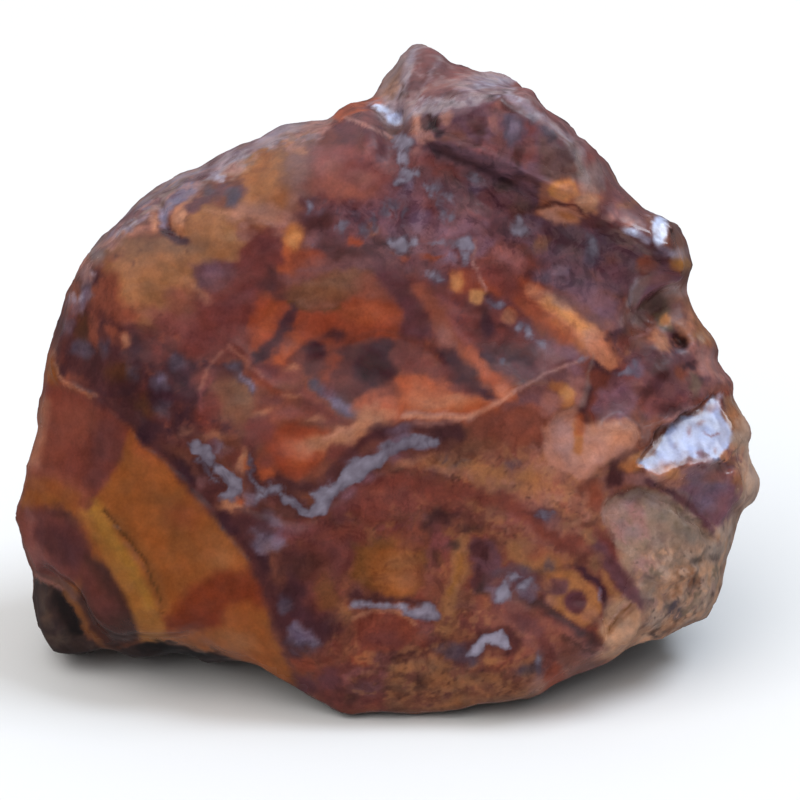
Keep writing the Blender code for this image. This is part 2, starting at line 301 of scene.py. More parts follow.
def facing_eye(points, normals):
    """How squarely each point faces the eye: 1 is head on, 0 edge on."""
    to_eye = MIDDLE + OUT * EYE_DISTANCE_MM / 1000.0 - points
    return (normals * to_eye).sum(1) / np.linalg.norm(to_eye, axis=1)


def active(obj):
    """Selects one object alone, for the operators."""
    bpy.ops.object.select_all(action="DESELECT")
    obj.select_set(True)
    bpy.context.view_layer.objects.active = obj


def apply_modifier(obj, kind, **settings):
    """Adds a modifier with these settings and applies it."""
    modifier = obj.modifiers.new(kind.lower(), kind)
    for name, value in settings.items():
        setattr(modifier, name, value)
    bpy.ops.object.modifier_apply(modifier=modifier.name)


def divide_facing(obj, least_facing):
    """Divides once more the faces that face the eye."""
    mesh = obj.data
    centres = np.empty(len(mesh.polygons) * 3)
    normals = np.empty(len(mesh.polygons) * 3)
    mesh.polygons.foreach_get("center", centres)
    mesh.polygons.foreach_get("normal", normals)
    facing = facing_eye(centres.reshape(-1, 3), normals.reshape(-1, 3))
    bpy.ops.object.mode_set(mode="EDIT")
    bpy.ops.mesh.select_mode(type="FACE")
    bpy.ops.mesh.select_all(action="DESELECT")
    bpy.ops.object.mode_set(mode="OBJECT")
    mesh.polygons.foreach_set("select", facing > least_facing)
    bpy.ops.object.mode_set(mode="EDIT")
    bpy.ops.mesh.subdivide(number_cuts=1)
    bpy.ops.object.mode_set(mode="OBJECT")


def fine_copy(cad):
    """A closed, evenly divided copy of the stone, finer where it faces the eye."""
    stone = cad.copy()
    stone.data = cad.data.copy()
    stone.name = "jasper_stone"
    stone.parent = None
    for key in list(stone.keys()):
        del stone[key]
    bpy.context.scene.collection.objects.link(stone)
    active(stone)
    bpy.ops.object.mode_set(mode="EDIT")
    bpy.ops.mesh.select_all(action="SELECT")
    bpy.ops.mesh.remove_doubles(threshold=1e-6)
    bpy.ops.object.mode_set(mode="OBJECT")
    apply_modifier(stone, "REMESH", mode="VOXEL", voxel_size=VOXEL)
    apply_modifier(stone, "SMOOTH", factor=0.5, iterations=VOXEL_SMOOTHING)
    divide_facing(stone, FINE_FROM_FACING)
    apply_modifier(stone, "SMOOTH", factor=0.5, iterations=FINE_SMOOTHING)
    return stone


class Relief:
    """Moves the stone's points in and out of its face, by marks placed in the frame."""

    def __init__(self, mesh):
        self.mesh = mesh
        self.points = read_points(mesh)
        self.normals = read_normals(mesh)
        self.x, self.y, self.height = in_frame(self.points)
        turned = facing_eye(self.points, self.normals)
        self.facing = smooth_step(0.0, 0.25, turned)
        self.behind = smooth_step(-0.08, -0.45, turned)
        self.at_mm = self.points * 1000.0
        shift = noise_shift(self.at_mm, size=2.4, seed=31) * 4.0
        self.x += shift[:, 0]
        self.y += shift[:, 1]
        self.push = np.zeros(len(self.points))
        self.slide = np.zeros(len(self.points))

    def facet(self, corners, to_right, to_top, lift=0.0, soft=6.0, most=1.4):
        """Flattens a patch to a plane through its middle. The slopes are mm out per mm right and up."""
        share = soft_edge(depth_inside(self.x, self.y, corners), soft) * self.facing
        inner = share > 0.5
        scale = MM_PER_PX * FACE_SCALE
        right, up = (self.x - self.x[inner].mean()) * scale, (self.y[inner].mean() - self.y) * scale
        flat = np.median(self.height[inner]) + lift + to_right * right + to_top * up
        self.slide += np.clip(flat - self.height, -most, most) * share

    def groove(self, line, depth, width):
        """A rounded groove, or a ridge where the depth is negative."""
        distance, along = line_distance(self.x, self.y, line)
        ends = smooth_step(0.0, 0.12, np.minimum(along, 1.0 - along))
        self.push -= depth * np.exp(-((distance / width * 2.0) ** 2)) * ends * self.facing

    def step(self, line, drop, reach, wall=4.0):
        """Lets the face down on the right of a line, walked in order, and less further away."""
        distance, along = line_distance(self.x, self.y, line)
        side = np.zeros(self.x.shape)
        best = np.full(self.x.shape, 1e9)
        for a, b in zip(line, line[1:]):
            near, _ = line_distance(self.x, self.y, (a, b))
            turned = np.sign((b[0] - a[0]) * (self.y - a[1]) - (b[1] - a[1]) * (self.x - a[0]))
            side = np.where(near < best, turned, side)
            best = np.minimum(best, near)
        ends = smooth_step(0.0, 0.15, np.minimum(along, 1.0 - along))
        lowered = soft_edge(side * distance, wall) * np.exp(-((distance / reach) ** 2))
        self.push -= drop * lowered * ends * self.facing

    def rim(self, line, out, width):
        """Moves the stone's edge out, or in where it is negative, along its normals."""
        distance, _ = line_distance(self.x, self.y, line)
        self.push += out * np.exp(-((distance / width) ** 2))

    def pit(self, several, depth):
        """Round-bottomed dishes, or lumps where the depth is negative."""
        for oval in several:
            inside = depth_in_spot(self.x, self.y, oval) / min(oval[2:4])
            self.push -= depth * smooth_step(0.0, 1.0, inside) * self.facing

    def rough(self, amount, size, seed, octaves=3, ridged=False):
        """Roughens by noise, as much as the amount says at each point, in mm."""
        if ridged:
            shift = Vector((seed * 3.3, seed * 7.1, seed * 1.7))
            wander = np.array([
                noise.ridged_multi_fractal(Vector(place) / size + shift, 1.0, 2.1, octaves, 0.9, 1.6)
                for place in self.at_mm
            ]) - 1.1
        else:
            wander = noise_field(self.at_mm, size, seed, octaves)
        self.push += amount * wander

    def scallops(self, depth, size, seed):
        """Shallow dishes with ridges between them, as broken stone has, with a depth in mm for each point."""
        shift = Vector((seed * 4.1, seed * 2.3, seed * 6.7))
        near = np.array([noise.voronoi(Vector(place) / size + shift)[0][:2] for place in self.at_mm])
        self.push -= depth * smooth_step(0.0, 0.45, near[:, 1] - near[:, 0])

    def zone(self, corners, soft=20.0):
        """How much each point belongs to a patch that faces the eye."""
        return soft_edge(depth_inside(self.x, self.y, places(corners)), soft) * self.facing

    def settle(self):
        """Writes the moved points: flat breaks go straight out, the rest partly along their normals."""
        way = self.normals * (1.0 - self.facing[:, None] * 0.5) + OUT * self.facing[:, None] * 0.5
        way /= np.linalg.norm(way, axis=1)[:, None]
        moved = self.points + (way * self.push[:, None] + OUT * self.slide[:, None]) * 0.001
        floor = self.points[:, 2] < RESTING_HEIGHT
        moved[floor] = self.points[floor]
        moved[:, 2] = np.maximum(moved[:, 2], 0.0)
        write_points(self.mesh, moved)


# Zones of the face that are rougher than the rest, and the flat break that is smoother. The rind zone lies
# under the lower left lobe, where the paint lays painted shade.
ROUGH_RIGHT_END = "640,300 690,285 740,380 760,480 720,560 720,630 640,660 640,600 690,560 700,480 650,400"
PROUD_BLOCK = "415,110 497,92 575,150 600,190 688,266 640,240 560,205 420,145"
LOW_RIGHT_CORNER = "640,580 690,560 730,520 730,600 690,640 620,668 610,645"
SHADED_RIND = "10,580 60,585 84,640 150,640 230,655 230,690 10,690"
SMOOTH_SHELF = "632,470 645,450 663,426 685,413 703,402 711,391 728,420 738,440 726,460 700,466 660,474"

# Flat breaks: slope to the right and to the top in mm per mm, lift, softness, most in mm
FLAT_BREAKS = """
facet: -0.27 -0.7 0 3 3: 632,470 645,450 663,426 685,413 703,402 711,391 728,420 738,440 726,460 700,466
    660,474
facet: -0.45 0.22: 655,482 700,474 738,468 742,500 716,524 690,512
facet: -0.3 -0.22 0 5: 602,512 613,498 640,487 655,497 690,525 706,545 692,575 662,588 640,572 620,545
facet: -0.2 0.3 0.15 4: 602,624 606,610 624,597 641,610 636,640 611,643
facet: 0.02 -0.22 0 14: 545,425 560,415 580,410 600,425 620,418 635,430 635,450 610,465 590,475 578,490
    560,465
facet: 0.1 0.34 0.2: 627,305 633,284 641,276 655,271 680,272 686,278 676,285 659,290 647,298 634,310
facet: -0.3 -0.62 0 4 2: 370,104 388,101 404,113 406,125 390,126
facet: -0.29 -0.66 0 3 2: 648,212 664,212 672,224 668,246 654,242 650,228
facet: -0.08 -0.05 0 9: 425,140 480,150 520,170 560,190 580,176 572,142 525,112 498,98 440,116
"""

# Grooves and cracks, and ridges where the depth is negative: depth in mm, width in pixels
CRACKS = """
groove: 0.9 9: 640,485 665,500 700,525 715,545
groove: -0.07 7: 437,420 470,418 500,402 520,385 560,362 592,350
groove: -0.14 9: 592,352 588,380 580,412 576,440
groove: 0.7 9: 160,198 164,226 182,240
groove: 0.22 5: 108,512 125,532 143,558 155,580 163,615
groove: -0.25 16: 100,500 122,545 146,585 160,622
groove: -0.35 6: 50,350 57,375 65,385 100,398
groove: -0.3 6: 350,118 375,126 398,142
groove: 0.35 14: 205,475 245,505 300,522 345,492 400,455
groove: -0.25 8: 230,340 250,355 262,375 280,395
groove: -0.5 10: 404,56 400,80 392,98
groove: 0.4 9: 422,60 420,84 408,102
groove: -0.4 8: 414,112 416,134
groove: 0.3 9: 425,116 436,132
groove: 0.3 5: 604,628 622,606 630,602
groove: -0.3 8: 262,150 300,134 330,124
groove: -0.15 12: 460,560 450,600 440,640
groove: 0.2 7: 353,601 395,602 437,608
"""

# Ledges: drop in mm, reach and wall in pixels, and a line that has the low side on its right
LEDGES = """
step: 0.35 26 12: 418,143 452,156 507,181 560,206 600,222 640,240 688,266
step: 0.6 24 7: 630,316 647,299 660,291 676,286 692,279
step: -0.3 30: 60,385 100,398 130,432 175,468 200,498 250,562 275,640
step: 0.7 22 13: 26,572 46,582 62,590 76,607 84,630 108,650
step: 0.25 20: 345,345 380,330 420,338 450,370
"""

# Pits, and lumps where the depth is negative: depth in mm, then ovals
DISHES = """
pit: 1: 681,341,12,7,40
pit: 0.5: 656,308,14,8,-20
pit: 0.8: 695,560,9,6
pit: 0.7: 668,596,10,7
pit: 0.3: 578,600,16,12
pit: 0.5: 300,440,36,22,20
pit: 0.25: 310,300,46,14
pit: 0.3: 612,394,30,24 500,660,14,8
pit: 0.2: 395,604,30,8
pit: 0.3: 640,374,22,16
pit: -0.3: 668,372,18,16
pit: -0.5: 708,345,10,14
pit: -0.2: 660,340,14,12
"""

# Where the stone's edge moves out, or in: by how much in mm, and width in pixels
EDGE_MOVES = """
rim: 1.2 16: 714,348 731,380 742,410 747,432
rim: 0.5 12: 748,494 758,482
rim: 0.6 14: 50,342 42,376 38,408
rim: -0.5 14: 20,478 16,506 22,522
rim: -0.4 12: 128,206 150,189 190,167 228,148
rim: -0.45 9: 326,115 350,102 372,98
rim: 0.7 10: 402,52 412,42 424,41
rim: -0.75 12: 456,62 482,70 512,78
rim: -0.5 12: 552,114 572,134
rim: -0.6 12: 650,205 666,211
rim: 0.5 9: 690,266 690,276
rim: -0.7 14: 558,690 584,680 612,667 642,650
"""


def shape_face(stone):
    """The small breaks, cracks, pits and rough skin that show close to."""
    relief = Relief(stone.data)
    facing = relief.facing
    away = 1.0 - facing

    for notes in (FLAT_BREAKS, CRACKS, LEDGES, DISHES, EDGE_MOVES):
        make_marks(relief, notes)

    # Gentle swells on the broken face, rough skin at the right, in the rind and behind
    right_end = relief.zone(ROUGH_RIGHT_END)
    block = relief.zone(PROUD_BLOCK, 12.0)
    corner = relief.zone(LOW_RIGHT_CORNER)
    rind = relief.zone(SHADED_RIND, 12.0)
    face = facing * (1.0 - relief.zone(SMOOTH_SHELF, 6.0))
    relief.rough(0.14 * face, size=6.0, seed=1)
    relief.rough(0.04 * face, size=1.8, seed=2)
    right_end *= 1.0 - relief.zone(SMOOTH_SHELF, 8.0)
    relief.rough(0.26 * right_end, size=3.0, seed=3)
    relief.rough(0.16 * block, size=2.6, seed=4)
    relief.rough(0.30 * corner, size=2.2, seed=5)
    relief.rough(0.10 * corner, size=1.0, seed=9, octaves=2)
    relief.rough(0.22 * rind, size=3.5, seed=6)
    relief.scallops(0.9 * relief.behind, size=15.0, seed=10)
    relief.rough(0.34 * away, size=5.0, seed=7, octaves=4)
    relief.rough(0.35 * away, size=7.0, seed=8, octaves=4, ridged=True)
    relief.settle()


class Paint:
    """Lays colour and finish on the stone's points, by strokes placed in the frame."""

    def __init__(self, mesh):
        self.mesh = mesh
        points = read_points(mesh)
        normals = read_normals(mesh)
        self.at_mm = points * 1000.0
        self.x, self.y, _ = in_frame(points)
        facing = facing_eye(points, normals)
        uneven = 0.10 * noise_field(self.at_mm, size=3.0, seed=41)
        self.front = smooth_step(-0.14, 0.06, facing + uneven)
        self.up = normals[:, 2]
        self.turned = smooth_step(0.42, 0.12, facing)
        # Noise of three sizes frays the strokes by a few pixels, and by far more where the face turns away
        large = noise_shift(self.at_mm, size=6.0, seed=42) * 3.0
        middling = noise_shift(self.at_mm, size=2.2, seed=43) * 4.5
        small = noise_shift(self.at_mm, size=0.9, seed=44) * 3.2
        self.warp = large + middling + small
        far = noise_shift(self.at_mm, size=14.0, seed=45) * 70.0
        near = noise_shift(self.at_mm, size=5.0, seed=46) * 24.0
        self.drift = (far + near) * (1.0 - self.front)[:, None]
        self.colour = np.tile(rgb("brick"), (len(points), 1))
        self.quartz = np.zeros(len(points))
        self.dull = np.zeros(len(points))
        self.mottle = np.full(len(points), 0.5)
        self.pale = np.full(len(points), 0.5)
        self.only = np.ones(len(points))
        self.grains = {size: noise_field(self.at_mm, size, 60 + size, 3) for size in CLOT_SIZES}

    def spread(self, ragged):
        """Where each point looks up the strokes."""
        x = self.x + self.warp[:, 0] * ragged + self.drift[:, 0]
        y = self.y + self.warp[:, 1] * ragged + self.drift[:, 1]
        return x, y

    def cover(self, name, depth, soft, strength):
        """Lays a colour where the depth is more than nothing, with a soft edge."""
        share = soft_edge(depth, soft) * strength * self.only
        self.colour += (rgb(name) - self.colour) * share[:, None]

    def patch(self, name, corners, soft=8.0, ragged=1.0, strength=1.0):
        self.cover(name, depth_inside(*self.spread(ragged), corners), soft, strength)

    def band(self, name, line, width, soft=6.0, ragged=1.0, strength=1.0):
        self.cover(name, depth_in_band(*self.spread(ragged), line, width), soft, strength)

    def spots(self, name, several, soft=5.0, ragged=1.0, strength=1.0):
        for oval in several:
            self.cover(name, depth_in_spot(*self.spread(ragged), oval), soft, strength)

    def clots_in(self, corners, soft=16.0):
        """Chooses the patch that the clots after it lie in."""
        self.clot_zone = soft_edge(depth_inside(*self.spread(1.0), corners), soft)

    def clots(self, name, size, bare, strength):
        """Clots of one size in mm. Less than nothing as a size takes the hollows of the same noise."""
        grain = self.grains[abs(size)] * math.copysign(1.0, size)
        share = smooth_step(bare, bare + CLOT_EDGE, grain) * self.clot_zone * strength * self.only
        self.colour += (rgb(name) - self.colour) * share[:, None]

    def drift_of_tone(self):
        """Lighter and darker, and warmer and cooler, by a little."""
        light = 0.09 * self.grains[4.0] + 0.07 * self.grains[1.3]
        warm = 0.07 * self.grains[2.4]
        self.colour *= 1.0 + light[:, None] + np.outer(warm, (0.4, -0.2, -1.0))

    def vein(self, depth, pale, soft=9.0):
        """Chalcedony: the mask crosses a half at the edge, where the material cuts it crisp."""
        share = np.clip(0.5 + depth / soft, 0.0, 1.0) * self.only
        more = share > self.quartz
        self.quartz = np.where(more, share, self.quartz)
        clouded = pale * (0.78 + 0.3 * smooth_step(0.0, 4.0, depth)) + 0.22 * self.grains[1.3]
        self.pale = np.where(more, clouded, self.pale)

    def haloed_vein(self, halo, depth, pale, halo_width, strength):
        """A vein with a thin halo of colour round it, unless that is bare."""
        if halo != "bare":
            self.cover(halo, depth + halo_width / 2.0, halo_width, strength)
        self.vein(depth, pale)

    def vein_patch(self, corners, pale=0.6, ragged=0.6):
        self.vein(depth_inside(*self.spread(ragged), corners), pale, soft=5.0)

    def vein_band(self, halo, line, width, pale=0.5, ragged=1.2, halo_width=10.0):
        depth = depth_in_band(*self.spread(ragged), line, width)
        self.haloed_vein(halo, depth, pale, halo_width, strength=0.75)

    def vein_spots(self, halo, several, pale=0.5, ragged=1.4, halo_width=7.0):
        for oval in several:
            depth = depth_in_spot(*self.spread(ragged), oval)
            self.haloed_vein(halo, depth, pale, halo_width, strength=0.6)

    def field(self, which, corners, value, soft=16.0, ragged=1.0):
        """Sets how dull or how mottled a patch is."""
        share = soft_edge(depth_inside(*self.spread(ragged), corners), soft) * self.only
        old = getattr(self, which)
        setattr(self, which, old + (value - old) * share)

    def settle(self):
        """Writes colour and finish to the mesh as attributes."""
        self.drift_of_tone()
        count = len(self.colour)
        colour = np.ones((count, 4))
        colour[:, :3] = np.maximum(to_linear(np.clip(self.colour, 0.0, 1.0)) - SHEEN, DEEPEST)
        finish = np.column_stack((self.quartz, self.dull, self.mottle, self.pale))
        for name, values in (("colour", colour), ("finish", finish)):
            layer = self.mesh.attributes.new(name, "FLOAT_COLOR", "POINT")
            layer.data.foreach_set("color", np.clip(values, 0.0, 1.0).ravel())


# Strokes of colour. After the colour come, for a patch and for spots, how soft the edge is in pixels, how
# ragged it is and how strong the colour, and for a band its width and then the same. A vein has the colour of
# its halo, or bare for none, then how pale and how ragged it is, and how wide its halo; a vein's band has its
# own width before them. Clots have a size in mm, the share left bare and how strong they are. A field sets
# how dull or mottled a patch is: the value, how soft its edge is and how ragged.

# The large areas of colour, which go on through the stone to its sides
BROAD_COLOURS = """
patch ochre: 14: 110,275 130,245 170,238 200,215 240,205 246,260 215,272 190,300 165,310 140,330 118,312
patch bright ochre: 16 1 0.7: 238,155 290,150 296,200 262,232 240,205
patch pink tan: 14 1 0.8: 286,132 330,124 350,160 330,200 290,205
patch rose: 16: 308,128 350,116 400,150 404,200 340,206 310,200
patch plum: 18: 300,200 400,196 520,190 600,220 640,262 560,290 480,262 400,272 320,262
patch mauve: 16 1 0.7: 400,130 520,150 600,200 680,262 640,300 560,262 470,262 400,250
patch burgundy: 20: 248,240 266,230 284,242 292,268 268,318 200,330 196,292
patch oxblood: 20: 140,330 200,320 250,360 246,420 200,440 150,410
patch dark plum: 20: 56,315 110,300 150,330 200,372 196,440 150,448 110,402 56,380
patch warm brick: 24: 225,300 300,270 420,290 440,350 400,400 300,400 230,380
patch rust: 12: 226,330 262,300 300,303 350,300 402,308 418,325 395,345 330,348 300,352 280,366 250,356
patch burgundy: 20: 400,262 470,262 520,300 540,350 480,360 420,330
patch rose brown: 18: 560,290 640,300 700,290 736,400 660,420 610,400 620,350
patch flame: 14: 360,398 400,378 440,376 500,392 560,400 560,430 470,425 400,420
patch brick: 30: 270,520 340,470 420,450 560,440 660,520 650,620 560,690 340,710 280,640
patch caramel: 7 0.5: 48,350 60,385 100,398 130,430 150,448 175,468 200,498 225,520 245,545 258,575 265,605
    275,640 300,690 255,668 220,655 180,645 150,640 108,650 85,632 68,595 35,577 20,510 30,465 42,400
patch khaki: 16: 605,512 640,488 690,500 740,505 735,560 715,620 660,655 610,660 600,620 640,600
patch tan: 10: 734,380 780,380 780,520 742,516 738,440
patch stone grey: 10: 372,100 392,60 420,36 450,50 470,70 500,70 520,90 470,112 410,112
"""

# What the ground is made of where no larger mark lies on it
GROUND_CLOTS = """
clots_in: 16: 290,540 340,480 440,450 600,440 640,520 640,600 560,690 340,712 290,650
clots red brown: 4 0 0.8
clots ochre: 2.4 0.16 0.6
clots olive: -2.4 0.2 0.6
clots rose brown: -4 0.2 0.6
clots oxblood: 1.3 0.22 0.6
clots dusty rose: -1.3 0.28 0.5
clots dark umber: 0.8 0.4 0.5
clots_in: 16: 300,200 400,120 520,100 600,190 690,262 640,300 560,290 480,262 400,272 310,262
clots mauve: 4 0.05 0.5
clots wine: 2.4 0.16 0.7
clots rose: -2.4 0.24 0.5
clots slate: 1.3 0.22 0.5
clots ink: -1.3 0.3 0.5
clots_in: 16: 60,300 150,330 240,330 260,430 190,440 130,430 60,380
clots burgundy: 2.4 0.1 0.6
clots ink: -2.4 0.2 0.6
clots warm brick: 1.3 0.25 0.5
clots_in: 16: 600,300 690,290 740,390 720,410 640,420 600,400
clots warm brick: 2.4 0.14 0.6
clots plum: -2.4 0.1 0.6
clots coral: 1.3 0.32 0.5
clots black plum: -1.3 0.32 0.5
clots_in: 16: 400,262 560,290 600,360 540,400 440,370 400,340
clots wine: 2.4 0.1 0.6
clots oxblood: -2.4 0.15 0.6
clots ink: 1.3 0.3 0.5
"""

# Mottled browns, with the chalcedony that runs through them. The broad pink tan band along the lower right
# edge, near the floor, is painted light that lifts the shade there.
LOWER_MIDDLE = """
spots oxblood: 14 1.3: 316,532,20,8 350,500,14,12 386,486,16,12 330,558,22,8
spots dusty rose: 10 1.4: 300,528,14,8 356,484,12,7,-30 290,540,12,6 340,510,10,7
spots red brown: 12 1.3: 370,510,18,12 400,500,14,8 440,500,18,8 350,532,16,8
spots warm brick: 10 1.4: 410,484,18,8 396,472,14,6 372,492,9,6 422,540,10,10
spots coral: 8 1.3 0.8: 404,464,18,5,-8 430,456,18,5 384,474,8,4
spots rose: 8 1.2 0.6: 408,453,12,5 272,496,10,8
spots pink mauve: 8 1.2 0.5: 520,599,10,7
spots ochre: 10 1.5: 450,462,22,7 492,476,20,9 524,492,18,8 540,474,18,8 470,450,12,5
spots olive brown: 10 1.5 0.8: 500,490,20,7 530,482,10,7 560,500,14,9 470,470,14,6
spots salmon: 5 1.5 0.6: 446,468,16,3 470,472,10,3 508,482,8,4 534,506,12,3
spots olive: 8 1.5 0.8: 420,450,10,6 486,456,18,5 470,490,6,4 444,494,10,4
spots slate: 6 1.2 0.6: 464,464,12,4 512,464,9,5 444,458,7,3
patch brick: 18 1 0.7: 440,492 480,488 530,504 560,530 540,550 500,540 470,520 436,512
patch rose: 20 1 0.6: 500,496 560,500 584,540 540,544 510,524
patch salmon: 26 1 0.5: 530,448 604,470 606,512 584,538 552,520 528,486
spots oxblood: 12 1.3 0.7: 482,500,24,7,10 500,528,20,7,20 540,546,20,6,10
spots black plum: 8 1.3 0.6: 444,516,14,7 432,528,10,6 470,532,10,4
spots dusty rose: 9 1.3: 440,540,10,14,-20 520,520,18,6 560,554,10,9 430,560,7,8
patch dark plum: 16: 278,548 330,546 350,556 344,572 300,600 284,590
patch oxblood: 18: 300,540 350,540 352,560 330,610 320,660 300,620
spots dark umber: 14 1.2 0.6: 306,568,22,12 332,596,10,18 344,620,8,20
spots brick: 12 1.2 0.8: 328,584,10,14 350,640,10,14 350,580,8,14
patch dark caramel: 14: 352,544 384,536 416,540 430,560 424,588 404,598 368,592 352,574
patch caramel: 18 1 0.75: 368,552 400,540 420,556 420,586 392,598 370,580
spots bright ochre: 10 1 0.6: 398,582,18,8
spots dark umber: 6 1 0.7: 438,558,4,9 428,568,4,4
spots brick: 10: 436,590,9,16 424,540,8,6
spots ochre: 10 1.2 0.7: 344,610,8,12 440,624,8,8
patch warm brick: 8: 352,622 376,610 404,614 416,626 410,642 380,652 356,646
spots oxblood: 8 1 0.8: 378,642,18,7,-4 394,626,10,5
band coral: 3.5 4 0.8 0.6: 352,618 372,610 396,611 414,622
patch oxblood: 12: 320,668 350,660 400,676 400,706 340,712 318,696
band rose: 4/7 6 1 0.8: 342,684 352,674 368,670 386,676
spots rose brown: 10: 366,688,18,9
spots rust: 7 1 0.9: 306,664,12,6,20 326,660,9,5,30 360,660,10,4
spots wine: 9: 306,684,14,9,30 330,680,10,10
patch olive brown: 14: 384,664 430,656 470,672 540,664 540,700 440,714 390,712
spots olive: 12 1.5 0.8: 420,700,26,9 480,690,20,8 352,652,14,6 520,686,14,8
spots ochre: 7 1.6: 404,672,12,6 440,680,14,6 470,684,12,5 500,676,14,6 456,700,12,5
spots dark umber: 7 1.5 0.7: 410,652,14,5 394,660,8,4 430,646,9,7 350,700,6,4 420,684,7,4 388,690,6,4
spots mauve brown: 8 1.3: 424,634,9,8 440,650,10,5 520,600,14,7
patch plum: 8: 472,542 496,543 502,566 490,590 474,592
spots dark plum: 7: 480,550,8,9 478,578,6,9
band ochre: 16 9: 462,542 460,570 452,600 450,630
band yellow ochre: 6 6 1 0.6: 462,556 454,590
spots olive: 8 1 0.7: 466,600,6,12 458,636,9,9
patch ochre: 12 1.3: 502,544 530,540 556,556 560,580 530,574 506,562
spots slate: 7 1.2 0.7: 520,572,18,5 548,566,5,7 500,574,9,5
spots oxblood: 10 1.3: 552,546,14,8 476,622,14,9 512,612,18,8 530,626,14,7
spots warm brick: 9 1.3 0.8: 510,626,20,6,10 480,606,6,9 540,552,12,7
band dark plum: 14/10 9 0.9: 526,592 540,602 552,614 568,624 586,636 606,647
band slate: 8/6 7 1 0.5: 552,614 566,622 582,634
band black brown: 7/5 7 1 0.7: 534,598 548,610 566,622 590,640
patch bright ochre: 5 0.5: 547,576 560,569 574,570 585,579 593,588 600,598 601,611 594,620 584,627 570,619
    556,609 548,598
spots salmon: 7 0.5 0.5: 552,600,6,7 590,614,8,6
patch rose brown: 5 0.5: 544,585 553,577 566,577 570,586 565,593 556,595 546,593
spots wine: 5 0.4: 575,601,11,12,-20
spots dark plum: 6 0.4 0.7: 577,604,8,8,-20
band ink: 7/5 5 0.6: 577,564 589,577 599,585 605,595 606,612
band slate mauve: 3 3 0.4 0.8: 599,590 600,600
band burgundy: 18/26 12 0.8: 576,524 598,544 622,572 650,606
band plum: 16/22 10 0.7: 590,544 616,570 640,600
band dark plum: 8 9 0.7 0.5: 610,560 630,582
band ochre: 8/8 7: 604,574 613,592 620,602
spots olive brown: 10 1.3: 586,540,12,12 572,520,10,9 594,564,8,9 580,556,7,7
spots dark umber: 5 1.2 0.7: 592,524,8,4,-10 578,540,4,5 584,560,4,6 552,530,3,6
spots warm brick: 9 1.3 0.8: 566,512,14,10 600,506,8,10 560,484,10,6 580,498,10,5
spots rose brown: 10: 600,656,26,7,-14 570,652,22,9 634,610,8,14,-20
patch rose: 20 1 0.6: 500,606 540,620 580,640 612,656 560,672 520,660 492,632
spots warm brick: 9 1.2 0.8: 548,634,20,8,36 520,650,16,6
spots dark plum: 7 1.2 0.7: 536,640,8,5 560,660,8,5 522,664,12,6
patch light rust: 7 0.8: 544,694 548,668 560,660 566,672 560,690
spots flame: 6 0.8 0.7: 550,684,5,8,20
spots rose brown: 8: 590,672,22,6,-12 574,664,16,5
spots ochre: 7: 490,659,14,6,-10
clots_in: 24: 440,448 540,440 604,476 610,520 570,560 500,540 440,520
clots ochre: 1.3 0.08 0.6
clots salmon: -1.3 0.3 0.4
clots brick: -2.4 0.16 0.5
clots dark umber: 0.8 0.42 0.5
clots_in: 24: 350,600 480,600 560,640 560,690 440,714 350,700
clots ochre: 1.3 0.12 0.6
clots oxblood: -2.4 0.2 0.5
clots dark umber: -0.8 0.4 0.5
patch light salmon: 44 1 0.2: 490,444 604,462 612,516 590,552 540,556 490,520 476,480
patch salmon: 36 1 0.25: 470,600 540,606 600,650 570,676 480,640
band pink tan: 22 16 1.2 0.55: 540,684 580,668 610,656 640,642 664,628
spots rose: 26 1 0.3: 400,500,34,14 420,576,20,14
band oxblood: 12/20 14 1.3 0.6: 452,488 496,500 536,518 566,542 584,556
band burgundy: 14/8 14 1.4 0.5: 366,486 404,478 440,494 470,520
spots black brown: 8 1.3 0.7: 444,518,10,5 454,546,6,5 396,470,8,4 484,586,5,8
band red brown: 20/14 11 1.2 0.6: 384,480 420,484 470,494 518,510 550,532 574,548
spots dark plum: 8 1.2 0.7: 446,519,13,8,-10
spots dusty rose: 10 1.2 0.5: 412,546,12,9 423,625,9,7
patch red brown: 7 0.8 0.8: 352,625 372,613 402,614 416,628 410,644 384,654 358,646
spots oxblood: 8 0.8 0.7: 384,640,18,6,-4
band coral: 3 4 0.7 0.5: 352,620 372,611 398,612 415,624
band oxblood: 12/16 9 0.8 0.8: 510,610 530,622 544,642 552,662 554,688
patch rust: 8 0.8 0.9: 544,694 546,672 556,664 566,672 562,692
spots flame: 6 0.8 0.7: 551,684,5,8,20
patch brick: 12 1.2 0.7: 562,640 600,650 622,656 600,670 572,676 560,660
spots rose brown: 9 1.2 0.7: 530,626,14,9,30 592,652,14,5,10
band dark umber: 4 4 1.2 0.6: 560,638 580,646 600,650
spots slate mauve: 9 1 0.5: 520,585,10,8
spots coral: 7 0.6 0.5: 548,584,6,7
spots khaki: 8 0.8 0.5: 640,638,12,6,-20
spots bright ochre: 10 1.4 0.6: 486,470,20,6,10 534,480,14,6,20 560,560,12,6 404,560,14,10
"""
